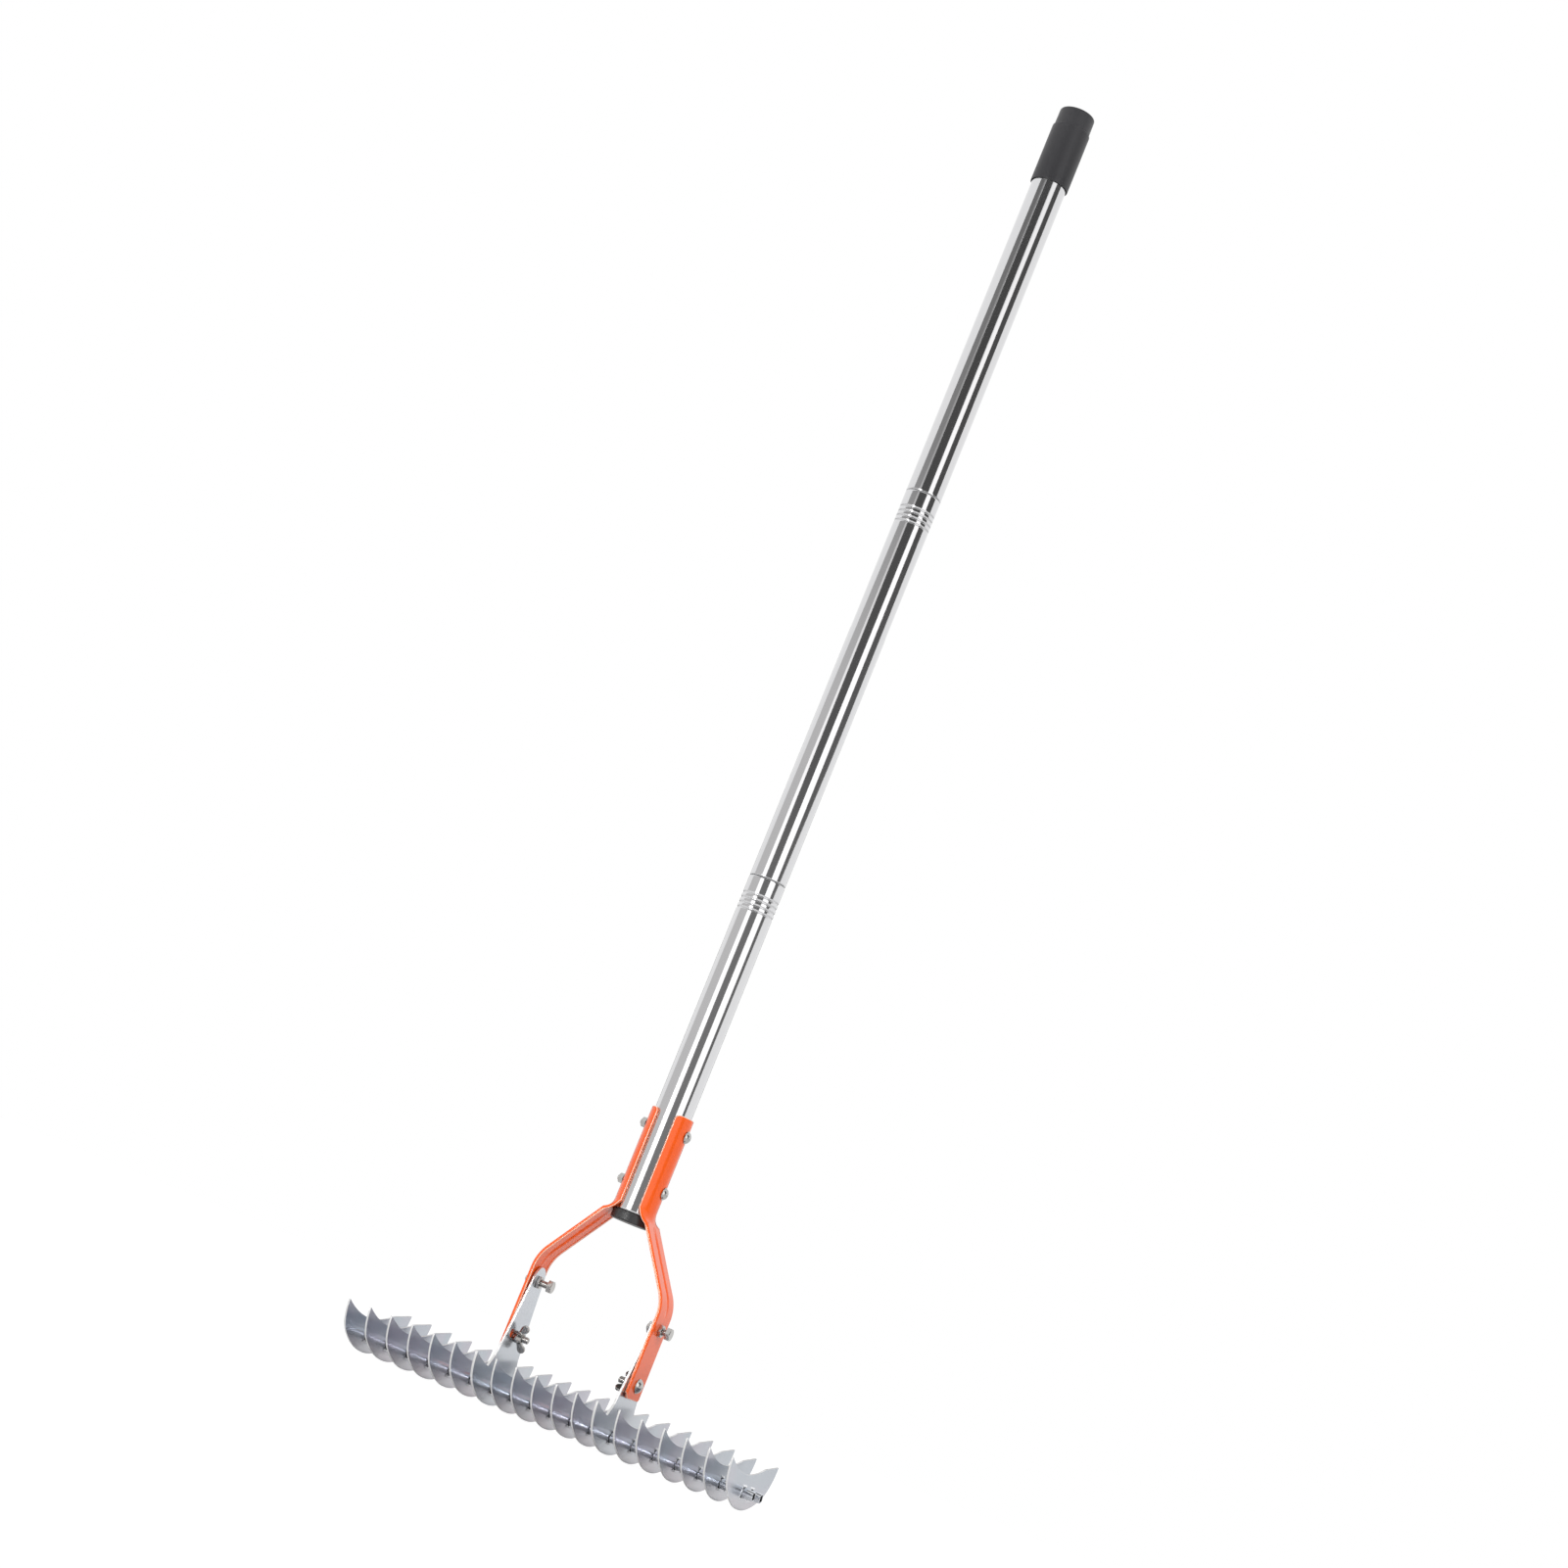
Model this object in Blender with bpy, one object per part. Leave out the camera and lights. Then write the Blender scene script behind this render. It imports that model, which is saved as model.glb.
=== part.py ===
"""Thatch rake: crescent blades on two cross tubes, tilting between two pressed brackets on a steel pole.

X runs along the cross tubes, Y points away from the user's front, Z runs up the pole.
The origin is on the pole's axis, level with the lowest points of the blades. Lengths are in metres.
"""

import math

import bmesh
import bpy
from mathutils import Matrix, Vector

for leftover in list(bpy.data.objects):
    bpy.data.objects.remove(leftover, do_unlink=True)

# Clearances
fit_gap = 0.0003
slot_side_gap = 0.00045

# Blade spacing
blades_inside_arms = 5
blades_outside_arms = 6
inner_pitch = 0.0185
outer_pitch = 0.0201

# Blade outline, in the YZ plane
blade_sheet = 0.0015
blade_reach = 0.068
belly_radius = 0.110
belly_half_width = 0.050
throat_height = 0.0286
hollow_radius = 0.150
hollow_low_y = -0.015
heel_corner_y = 0.033

# Arms that rise from two of the blades
arm_sheet = 0.002
pivot_height = 0.1075
clamp_drop = 0.0477
eye_radius = 0.0125
arm_base_half_width = 0.027
arm_base_height = 0.040
arm_waist_sag = 0.0013
arm_front_foot_y = -0.034
arm_rear_foot_y = 0.0295
tilt_limit_deg = 15.0

# Cross tubes and the lanced holes that grip them
tube_radius = 0.004
tube_wall = 0.001
tube_height = 0.0143
front_tube_y = -0.0065
tube_spacing = 0.023
tube_overhang = 0.0098
lance_length = 0.0035
lance_half_angle_deg = 6.0
tab_tilt_deg = 24.0

# Pole, in three screwed sections
pole_radius = 0.016
pole_wall = 0.0012
pole_foot_height = 0.1883
bottom_section_length = 0.3003
middle_section_length = 0.3651
top_section_length = 0.3647
ring_count = 4
ring_pitch = 0.0045
ring_depth = 0.0007
ring_half_width = 0.0013
first_ring_drop = 0.0158
stud_body_length = 0.045
stud_thread_length = 0.030
stud_thread_radius = 0.0092
socket_length = 0.036

# Pole end plug and grip
plug_rim = 0.0010
plug_height = 0.0087
plug_insert_length = 0.015
plug_edge = 0.0009
grip_wall = 0.0011
grip_height = 0.0735
grip_cap_height = 0.0176
grip_cap_inset = 0.0010
grip_cap_run_in = 0.0012
grip_cap_taper = 0.0002
grip_edge_radius = 0.0018
grip_foot_chamfer = 0.0004

# Pressed brackets
bracket_sheet = 0.0022
bracket_half_width = 0.0173
bracket_lip_depth = 0.0030
bracket_corner_radius = 0.0025
bracket_bottom_margin = 0.0122
outer_bend_rise = 0.0215
inner_bend_rise = 0.0003
bracket_top_margin = 0.0148
outer_bend_radius = 0.036
inner_bend_radius = 0.014
saddle_run_out = 0.0015
saddle_half_angle_deg = 62.0
bead_half_width = 0.0034
bead_crest_half_width = 0.0012
bead_depth = 0.0013
bead_end_share = 0.4
bottom_corner_radius = 0.004
top_corner_radius = 0.003
corner_row_share = 1.4

# Bolts, nuts and wing nuts
bolt_radius = 0.003
nut_across_flats = 0.010
nut_thickness = 0.0045
locknut_thickness = 0.0025
hex_head_thickness = 0.004
hex_chamfer = 0.0007
hex_end_share = 0.9
dome_head_radius = 0.0064
dome_head_height = 0.0042
bolt_end_reach = 0.0015
pole_bolt_radius = 0.0025
pole_bolt_head_radius = 0.0054
pole_bolt_head_height = 0.0036
pole_nut_across_flats = 0.008
pole_nut_thickness = 0.004
lower_pole_bolt_rise = 0.0239
pole_bolt_spacing = 0.050
left_pivot_head_stand = 0.0095
right_pivot_head_stand = 0.0062
clamp_bolt_reach = 0.0117
wing_hub_radius = 0.0052
wing_hub_length = 0.0062
wing_hub_rim_height = 0.0022
wing_hub_end_share = 0.82
wing_span_radius = 0.0125
wing_rise = 0.0102
wing_thickness = 0.0022
wing_root_height = 0.0015
wing_ear_radius = 0.0036
wing_root_share = 0.8
wing_crotch_share = 0.75
ear_first_angle_deg = -75.0
ear_sweep_deg = 200.0
left_wing_turn_deg = 115.0
right_wing_turn_deg = 135.0

# Facet counts
pole_facets = 24
tube_facets = 24
fastener_facets = 12
shoulder_steps = 6
belly_steps = 8
hollow_steps = 8
foot_steps = 4
eye_steps = 8
waist_steps = 4
slot_steps = 6
lip_steps = 2
ear_steps = 5
dome_steps = 4
edge_steps = 3
outer_bend_steps = 4
inner_bend_steps = 3
run_steps = 4

# Sizes that follow from those above
left, right = -1, 1
arm_index = (blades_inside_arms + 1) // 2
last_index = arm_index + blades_outside_arms
arm_plane = arm_index * inner_pitch
arm_outer_face = arm_plane + arm_sheet / 2
arm_inner_face = arm_plane - arm_sheet / 2
web_face = arm_outer_face + fit_gap + bracket_lip_depth
saddle_radius = pole_radius + fit_gap + bracket_sheet
clamp_height = pivot_height - clamp_drop
lower_seam_height = pole_foot_height + bottom_section_length
upper_seam_height = lower_seam_height + fit_gap + middle_section_length
pole_top_height = upper_seam_height + fit_gap + top_section_length
lower_pole_bolt_height = pole_foot_height + lower_pole_bolt_rise
upper_pole_bolt_height = lower_pole_bolt_height + pole_bolt_spacing
bracket_bottom_height = clamp_height - bracket_bottom_margin
outer_bend_height = pivot_height + outer_bend_rise
inner_bend_height = pole_foot_height + inner_bend_rise
bracket_top_height = upper_pole_bolt_height + bracket_top_margin
plug_radius = pole_radius + plug_rim
bolt_hole_radius = bolt_radius + fit_gap
pole_bolt_hole_radius = pole_bolt_radius + fit_gap
end_blade_plane = arm_plane + blades_outside_arms * outer_pitch
tube_end = end_blade_plane + blade_sheet / 2 + tube_overhang
full_turn = 2 * math.pi


# Materials
def finish(name, colour, roughness, metallic):
    """A plain Principled material for one kind of piece."""
    material = bpy.data.materials.new(name)
    material.use_nodes = True
    shader = material.node_tree.nodes["Principled BSDF"]
    shader.inputs["Base Color"].default_value = (*colour, 1.0)
    shader.inputs["Roughness"].default_value = roughness
    shader.inputs["Metallic"].default_value = metallic
    return material


zinc_sheet = finish("zinc_plated_sheet", (0.52, 0.56, 0.62), 0.30, 0.9)
bright_tube = finish("bright_tube", (0.75, 0.76, 0.78), 0.15, 1.0)
stainless = finish("polished_stainless", (0.80, 0.80, 0.82), 0.12, 1.0)
orange_paint = finish("orange_paint", (0.90, 0.14, 0.03), 0.25, 0.0)
black_moulding = finish("black_moulding", (0.015, 0.015, 0.017), 0.30, 0.0)
grey_moulding = finish("grey_moulding", (0.25, 0.25, 0.26), 0.50, 0.0)
bright_fastener = finish("bright_fastener", (0.70, 0.69, 0.67), 0.22, 1.0)


# Building blocks
def add_object(name, bm, material, smooth_angle_deg=None):
    """Turns a bmesh into a named object with its material."""
    mesh = bpy.data.meshes.new(name)
    bm.to_mesh(mesh)
    bm.free()
    if smooth_angle_deg is not None:
        mesh.shade_smooth()
        mesh.set_sharp_from_angle(angle=math.radians(smooth_angle_deg))
    mesh.materials.append(material)
    obj = bpy.data.objects.new(name, mesh)
    bpy.context.collection.objects.link(obj)
    return obj


def guide(obj):
    """Marks an object as a cutter or a guide, which isn't part of the model."""
    obj.hide_render = True
    obj.display_type = "WIRE"
    return obj


def boolean(obj, operation, tool):
    cut = obj.modifiers.new(f"{operation.lower()}_{tool.name}", "BOOLEAN")
    cut.operation = operation
    cut.object = tool
    cut.solver = "EXACT"


def along(axis, distance, across, around):
    """A point at a distance along an axis, and a radius across it at an angle around it."""
    if axis == "X":
        return Vector((distance, across * math.cos(around), across * math.sin(around)))
    return Vector((across * math.cos(around), across * math.sin(around), distance))


def turned(profile, facets, axis="Z"):
    """Revolves a closed or axis-to-axis profile of (radius, distance) points by bmesh spin."""
    bm = bmesh.new()
    verts = [bm.verts.new(along(axis, distance, radius, 0.0)) for radius, distance in profile]
    edges = [bm.edges.new(pair) for pair in zip(verts, verts[1:])]
    if profile[0][0] > 0:
        edges.append(bm.edges.new((verts[-1], verts[0])))
    direction = (1, 0, 0) if axis == "X" else (0, 0, 1)
    bmesh.ops.spin(bm, geom=verts + edges, cent=(0, 0, 0), axis=direction, angle=full_turn,
                   steps=facets, use_merge=True, use_duplicate=False)
    bmesh.ops.remove_doubles(bm, verts=bm.verts, dist=1e-6)
    bmesh.ops.recalc_face_normals(bm, faces=bm.faces)
    return bm


def hexagon_radius(across_flats, around):
    """The distance from the centre of a hexagon to its edge, at an angle from one of its corners."""
    from_corner = around % (math.pi / 3)
    return across_flats / 2 / math.cos(from_corner - math.pi / 6)


def ringed(rings, across_flats=nut_across_flats, facets=fastener_facets):
    """Skins a row of rings along X. A ring is (distance, radius), (distance, "hex") or (distance, 0)."""
    bm = bmesh.new()
    loops = []
    for distance, radius in rings:
        if radius == 0:
            loops.append([bm.verts.new((distance, 0, 0))] * facets)
            continue
        loop = []
        for step in range(facets):
            around = full_turn * step / facets
            across = hexagon_radius(across_flats, around) if radius == "hex" else radius
            loop.append(bm.verts.new(along("X", distance, across, around)))
        loops.append(loop)
    pairs = list(zip(loops, loops[1:]))
    if rings[0][1] != 0:
        pairs.append((loops[-1], loops[0]))
    for first, second in pairs:
        for step in range(facets):
            following = (step + 1) % facets
            corners = [first[step], first[following], second[following], second[step]]
            bm.faces.new(list(dict.fromkeys(corners)))
    bmesh.ops.recalc_face_normals(bm, faces=bm.faces)
    return bm


def place(obj, x=0.0, z=0.0, parent=None, half_turn=False):
    obj.location = (x, 0.0, z)
    if half_turn:
        obj.rotation_euler.z = math.pi
    if parent:
        obj.parent = parent
    return obj


# Blade outlines, as (y, z) points that run anticlockwise seen from +X
def arc(centre, radius, start, end, steps):
    """Points on an arc, from one angle to another, measured from +Y towards +Z."""
    points = []
    for step in range(steps + 1):
        angle = start + (end - start) * step / steps
        points.append((centre[0] + radius * math.cos(angle), centre[1] + radius * math.sin(angle)))
    return points


def bowed(start, end, sag, steps):
    """Points on a shallow arc between two points, bowed to the left of the way from start to end."""
    run = Vector(end) - Vector(start)
    normal = Vector((-run.y, run.x)).normalized()
    points = []
    for step in range(steps + 1):
        share = step / steps
        points.append(tuple(Vector(start) + run * share + normal * sag * 4 * share * (1 - share)))
    return points


belly_spread = math.asin(belly_half_width / belly_radius)
shoulder_radius = (blade_reach - belly_half_width) / (1 - math.sin(belly_spread))
shoulder_y = blade_reach - shoulder_radius
shoulder_z = belly_radius - (belly_radius - shoulder_radius) * math.cos(belly_spread)
hollow_centre = Vector((hollow_low_y, throat_height + hollow_radius))


def hollow_angle(y):
    """The angle round the hollow's centre at which its edge passes y."""
    return -math.acos((y - hollow_low_y) / hollow_radius)


def front_tip_angles():
    """Where the hollow's circle meets the front shoulder's: the angle round each centre."""
    shoulder = Vector((-shoulder_y, shoulder_z))
    apart = shoulder - hollow_centre
    along_line = (hollow_radius**2 - shoulder_radius**2 + apart.length_squared) / (2 * apart.length)
    off_line = math.sqrt(hollow_radius**2 - along_line**2)
    unit = apart.normalized()
    tip = hollow_centre + unit * along_line + Vector((unit.y, -unit.x)) * off_line
    from_hollow = tip - hollow_centre
    from_shoulder = tip - shoulder
    around_shoulder = math.atan2(from_shoulder.y, from_shoulder.x) % full_turn
    return math.atan2(from_hollow.y, from_hollow.x), around_shoulder


def sole():
    """The outer edge, from just past the front tip, round the belly, to the rear tip."""
    tip_angle = front_tip_angles()[1]
    down = -math.pi / 2
    points = arc((-shoulder_y, shoulder_z), shoulder_radius, tip_angle, full_turn + down - belly_spread,
                 shoulder_steps)[1:]
    points += arc((0, belly_radius), belly_radius, down - belly_spread, down + belly_spread, belly_steps)[1:]
    points += arc((shoulder_y, shoulder_z), shoulder_radius, down + belly_spread, 0, shoulder_steps)[1:]
    return points


def hollow(from_y, steps):
    """The hollow upper edge, from y to the front tip."""
    return arc(hollow_centre, hollow_radius, hollow_angle(from_y), front_tip_angles()[0], steps)


def plain_outline():
    return sole() + hollow(heel_corner_y, hollow_steps)


def top_line_height(y):
    """The height of the straight rear edge, which runs from the heel corner to the rear tip."""
    corner_z = hollow_centre.y + hollow_radius * math.sin(hollow_angle(heel_corner_y))
    slope = (shoulder_z - corner_z) / (blade_reach - heel_corner_y)
    return corner_z + slope * (y - heel_corner_y)


def arm_outline():
    """A blade whose middle rises as a tapered arm with a round eye at the pivot."""
    flare = math.atan2(arm_base_half_width - eye_radius, pivot_height - arm_base_height)
    eye = arc((0, pivot_height), eye_radius, flare, math.pi - flare, eye_steps)
    rear_base = (arm_base_half_width, arm_base_height)
    front_base = (-arm_base_half_width, arm_base_height)
    points = sole()
    points.append((arm_rear_foot_y, top_line_height(arm_rear_foot_y)))
    points += bowed(rear_base, eye[0], arm_waist_sag, waist_steps)[:-1]
    points += eye
    points += bowed(eye[-1], front_base, arm_waist_sag, waist_steps)[1:]
    return points + hollow(arm_front_foot_y, foot_steps)


def pivot_hole():
    return arc((0, pivot_height), bolt_hole_radius, 0, full_turn, fastener_facets)[:-1]


def clamp_slot():
    """The slot round the pivot in which the clamp bolt runs as the head tilts."""
    half_width = bolt_radius + slot_side_gap
    half_angle = math.radians(tilt_limit_deg) + fit_gap / clamp_drop
    down = -math.pi / 2
    first, last = down - half_angle, down + half_angle
    pivot = (0, pivot_height)
    rear_end = arc(pivot, clamp_drop, last, last, 1)[0]
    front_end = arc(pivot, clamp_drop, first, first, 1)[0]
    points = arc(pivot, clamp_drop + half_width, first, last, slot_steps)
    points += arc(rear_end, half_width, last, last + math.pi, slot_steps)[1:]
    points += arc(pivot, clamp_drop - half_width, last, first, slot_steps)[1:]
    return points + arc(front_end, half_width, first + math.pi, first + full_turn, slot_steps)[1:-1]


def edge_loop(bm, points, x=0.0):
    verts = [bm.verts.new((x, y, z)) for y, z in points]
    return verts, [bm.edges.new((a, b)) for a, b in zip(verts, verts[1:] + verts[:1])]


def lanced_sheet(outline, holes, sheet):
    """One thickness of blade sheet. Each tube hole is lanced across and its four tabs lean to +X.

    The lances end at the corners of a square, along whose sides the tabs are bent.
    """
    bm = bmesh.new()
    edges = edge_loop(bm, outline)[1]
    for hole in holes:
        edges += edge_loop(bm, hole)[1]
    tilt = math.radians(tab_tilt_deg)
    spread = math.pi / 4 - math.radians(lance_half_angle_deg)
    lip_radius = (tube_radius + fit_gap) / math.cos(spread / lip_steps) + sheet / 2 * math.sin(tilt)
    corner_radius = lip_radius + lance_length
    lift = (corner_radius * math.cos(math.pi / 4) - lip_radius) * math.tan(tilt)
    tabs = []
    for tube_y in (front_tube_y, front_tube_y + tube_spacing):
        centre = (tube_y, tube_height)
        corners, square = edge_loop(bm, arc(centre, corner_radius, math.pi / 4, 7 * math.pi / 4, 3))
        edges += square
        for side in range(4):
            facing = math.pi / 2 * (side + 1)
            lip = [bm.verts.new((lift, y, z)) for y, z in
                   arc(centre, lip_radius, facing + spread, facing - spread, lip_steps)]
            tabs.append([corners[side], corners[(side + 1) % 4], *lip])
    bmesh.ops.triangle_fill(bm, edges=edges, use_beauty=True, use_dissolve=False)
    for tab in tabs:
        bm.faces.new(tab)
    bmesh.ops.recalc_face_normals(bm, faces=bm.faces)
    return bm


def thicken(obj, sheet, offset):
    solid = obj.modifiers.new("sheet_thickness", "SOLIDIFY")
    solid.thickness = sheet
    solid.offset = offset
    solid.use_even_offset = True


def blade_plane(index):
    """X of a blade, counted from the middle one: the pitch is wider outside the arms."""
    inside = min(abs(index), arm_index)
    outside = abs(index) - inside
    return math.copysign(inside * inner_pitch + outside * outer_pitch, index)


# Head: blades and cross tubes turn together about the pivot bolts
head_pivot = bpy.data.objects.new("head_pivot", None)
bpy.context.collection.objects.link(head_pivot)
head_pivot.location = (0, 0, pivot_height)

plain_blade = add_object("blade_01", lanced_sheet(plain_outline(), [], blade_sheet), zinc_sheet)
thicken(plain_blade, blade_sheet, 0)
plain_count = 0
for index in range(-last_index, last_index + 1):
    if abs(index) == arm_index:
        side_name = "left" if index < 0 else "right"
        sheet = lanced_sheet(arm_outline(), [pivot_hole(), clamp_slot()], arm_sheet)
        blade = add_object(f"{side_name}_arm_blade", sheet, zinc_sheet)
        thicken(blade, arm_sheet, 0)
    else:
        plain_count += 1
        blade = plain_blade
        if plain_count > 1:
            blade = bpy.data.objects.new(f"blade_{plain_count:02d}", plain_blade.data)
            bpy.context.collection.objects.link(blade)
            thicken(blade, blade_sheet, 0)
    place(blade, blade_plane(index), -pivot_height, head_pivot)

tube_bore = tube_radius - tube_wall
tube_profile = [(tube_bore, -tube_end), (tube_radius, -tube_end),
                (tube_radius, tube_end), (tube_bore, tube_end)]
for name, tube_y in (("front_cross_tube", front_tube_y), ("rear_cross_tube", front_tube_y + tube_spacing)):
    tube = add_object(name, turned(tube_profile, tube_facets, "X"), bright_tube, 40)
    tube.location = (0, tube_y, tube_height - pivot_height)
    tube.parent = head_pivot


# Brackets: one strip each, curved into a saddle on the pole and into a shallow channel below
def bracket_path():
    """Stations up the middle of the strip's outer face.

    Each is (x, z, lean of the strip from upright, share of the way from channel to saddle, bead height).
    """
    lean = math.atan2(web_face - saddle_radius, inner_bend_height - outer_bend_height)
    lower_end = outer_bend_height - outer_bend_radius * math.tan(lean / 2)
    upper_end = inner_bend_height + inner_bend_radius * math.tan(lean / 2)
    outer_centre = (web_face - outer_bend_radius, lower_end)
    inner_centre = (saddle_radius + inner_bend_radius, upper_end)
    stations = []
    for height in (bracket_bottom_height, bracket_bottom_height + corner_row_share * bottom_corner_radius,
                   clamp_height + bolt_hole_radius + bottom_corner_radius,
                   (clamp_height + pivot_height) / 2, pivot_height, lower_end):
        stations.append((web_face, height, 0.0, 0.0, 0.0))
    for step in range(1, outer_bend_steps + 1):
        turn = lean * step / outer_bend_steps
        stations.append((outer_centre[0] + outer_bend_radius * math.cos(turn),
                         outer_centre[1] + outer_bend_radius * math.sin(turn), turn, 0.0,
                         1.0 if step == outer_bend_steps else 0.0))
    start = stations[-1]
    end = (inner_centre[0] - inner_bend_radius * math.cos(lean),
           inner_centre[1] - inner_bend_radius * math.sin(lean))
    for step in range(1, run_steps + 1):
        share = step / run_steps
        stations.append((start[0] + (end[0] - start[0]) * share, start[1] + (end[1] - start[1]) * share,
                         lean, 0.0, bead_end_share if step == run_steps else 1.0))
    saddle_start = upper_end + saddle_run_out
    for step in range(1, inner_bend_steps + 1):
        turn = lean * (1 - step / inner_bend_steps)
        height = inner_centre[1] - inner_bend_radius * math.sin(turn)
        share = (height - end[1]) / (saddle_start - end[1])
        stations.append((inner_centre[0] - inner_bend_radius * math.cos(turn), height, turn, share, 0.0))
    for height in (saddle_start, lower_pole_bolt_height,
                   (lower_pole_bolt_height + upper_pole_bolt_height) / 2, upper_pole_bolt_height,
                   bracket_top_height - corner_row_share * top_corner_radius, bracket_top_height):
        stations.append((saddle_radius, height, 0.0, 1.0, 0.0))
    return stations


def strip_columns():
    """Half of the strip's section from its middle out: (channel y, channel depth, girth, bead share)."""
    flat = bracket_half_width - bracket_corner_radius
    columns = [(0.0, 0.0, 0.0, 1.0), (bead_crest_half_width, 0.0, bead_crest_half_width, 1.0),
               (bead_half_width, 0.0, bead_half_width, 0.0)]
    middle = (bead_half_width + flat) / 2
    columns += [(middle, 0.0, middle, 0.0), (flat, 0.0, flat, 0.0)]
    for turn in (math.pi / 4, math.pi / 2):
        columns.append((flat + bracket_corner_radius * math.sin(turn),
                        bracket_corner_radius * (1 - math.cos(turn)),
                        flat + bracket_corner_radius * turn, 0.0))
    lip = bracket_lip_depth - bracket_corner_radius
    columns.append((bracket_half_width, bracket_lip_depth, columns[-1][2] + lip, 0.0))
    return columns


def rounded_end(y, half_width, radius):
    """How far a strip's end is cut back at y, for a corner of this radius."""
    past = max(0.0, abs(y) - (half_width - radius))
    return radius - math.sqrt(max(0.0, radius**2 - past**2))


def bracket_strip(side):
    half = strip_columns()
    girth = half[-1][2]
    columns = [(-1, column) for column in reversed(half[1:])] + [(1, column) for column in half]
    stations = bracket_path()
    bm = bmesh.new()
    rows = []
    for number, (x, z, lean, saddle_share, bead) in enumerate(stations):
        row = []
        for sign, (channel_y, channel_depth, reach, bead_share) in columns:
            wrap = math.radians(saddle_half_angle_deg) * reach / girth
            saddle_y = saddle_radius * math.sin(wrap)
            saddle_depth = saddle_radius * (1 - math.cos(wrap))
            y = channel_y + (saddle_y - channel_y) * saddle_share
            depth = channel_depth + (saddle_depth - channel_depth) * saddle_share
            depth += bead_depth * bead_share * bead
            end_trim = 0.0
            if number == 0:
                end_trim = rounded_end(y, bracket_half_width, bottom_corner_radius)
            if number == len(stations) - 1:
                end_trim = -rounded_end(y, saddle_radius * math.sin(math.radians(saddle_half_angle_deg)),
                                        top_corner_radius)
            row.append(bm.verts.new((side * (x - depth * math.cos(lean)), sign * y,
                                     z - depth * math.sin(lean) + end_trim)))
        rows.append(row)
    for lower, upper in zip(rows, rows[1:]):
        for column in range(len(columns) - 1):
            corners = [lower[column], lower[column + 1], upper[column + 1], upper[column]]
            bm.faces.new(corners if side == right else corners[::-1])
    return bm


def drill(name, hole_radius, reach, heights):
    """A guide of round bars along X, one at each height, that drills the bolt holes."""
    bm = bmesh.new()
    for height in heights:
        bar = turned([(0, -reach), (hole_radius, -reach), (hole_radius, reach), (0, reach)],
                     fastener_facets, "X")
        half_facet = Matrix.Rotation(math.pi / fastener_facets, 4, "X")
        bmesh.ops.transform(bar, matrix=Matrix.Translation((0, 0, height)) @ half_facet, verts=bar.verts)
        mesh = bpy.data.meshes.new(name)
        bar.to_mesh(mesh)
        bar.free()
        bm.from_mesh(mesh)
        bpy.data.meshes.remove(mesh)
    return guide(add_object(name, bm, bright_fastener))


pole_drill = drill("pole_bolt_drill", pole_bolt_hole_radius, 2 * saddle_radius,
                   (lower_pole_bolt_height, upper_pole_bolt_height))
arm_drill = drill("arm_bolt_drill", bolt_hole_radius, 2 * web_face, (clamp_height, pivot_height))

for side, name in ((left, "left_bracket"), (right, "right_bracket")):
    bracket = add_object(name, bracket_strip(side), orange_paint, 30)
    thicken(bracket, bracket_sheet, -1)
    boolean(bracket, "DIFFERENCE", pole_drill)
    boolean(bracket, "DIFFERENCE", arm_drill)


# Pole sections, with rolled rings that crimp each section into the groove of the stud inside it
def ring_heights(seam):
    return [seam - first_ring_drop - number * ring_pitch for number in reversed(range(ring_count))]


def ringed_wall(radius, seam):
    """Points of a wall that dips at each rolled ring below a seam, from the lowest ring up."""
    points = []
    for height in ring_heights(seam):
        points += [(radius, height - ring_half_width), (radius - ring_depth, height),
                   (radius, height + ring_half_width)]
    return points


def pole_section(name, foot, top, ringed_top):
    bore = pole_radius - pole_wall
    outer = ringed_wall(pole_radius, top) if ringed_top else []
    inner = ringed_wall(bore, top) if ringed_top else []
    profile = [(pole_radius, foot), *outer, (pole_radius, top), (bore, top), *reversed(inner), (bore, foot)]
    return add_object(name, turned(profile, pole_facets), stainless, 20)


bottom_section = pole_section("pole_bottom_section", pole_foot_height, lower_seam_height, True)
boolean(bottom_section, "DIFFERENCE", pole_drill)
pole_section("pole_middle_section", lower_seam_height + fit_gap, upper_seam_height, True)
pole_section("pole_top_section", upper_seam_height + fit_gap, pole_top_height, False)

core_radius = pole_radius - pole_wall - fit_gap
for name, seam in (("lower", lower_seam_height), ("upper", upper_seam_height)):
    heights = ring_heights(seam)
    groove_radius = core_radius - ring_depth
    stud_profile = [(0, seam - stud_body_length), (core_radius, seam - stud_body_length),
                    (core_radius, heights[0] - ring_half_width), (groove_radius, heights[0]),
                    (groove_radius, heights[-1]), (core_radius, heights[-1] + ring_half_width),
                    (core_radius, seam), (stud_thread_radius, seam),
                    (stud_thread_radius, seam + stud_thread_length), (0, seam + stud_thread_length)]
    add_object(f"{name}_joint_stud", turned(stud_profile, pole_facets), grey_moulding, 20)
    socket_bore = stud_thread_radius + fit_gap
    socket_foot = seam + fit_gap
    socket_top = socket_foot + socket_length
    socket_profile = [(socket_bore, socket_foot), (core_radius, socket_foot), (core_radius, socket_top),
                      (socket_bore, socket_top)]
    add_object(f"{name}_joint_socket", turned(socket_profile, pole_facets), grey_moulding, 40)

# Plug in the foot of the pole
plug_top = pole_foot_height - fit_gap
plug_foot = plug_top - plug_height
plug_profile = [(0, plug_foot), (plug_radius - plug_edge, plug_foot), (plug_radius, plug_foot + plug_edge),
                (plug_radius, plug_top - plug_edge), (plug_radius - plug_edge, plug_top),
                (core_radius, plug_top), (core_radius, plug_top + plug_insert_length),
                (0, plug_top + plug_insert_length)]
add_object("pole_end_plug", turned(plug_profile, pole_facets), black_moulding, 40)

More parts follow.
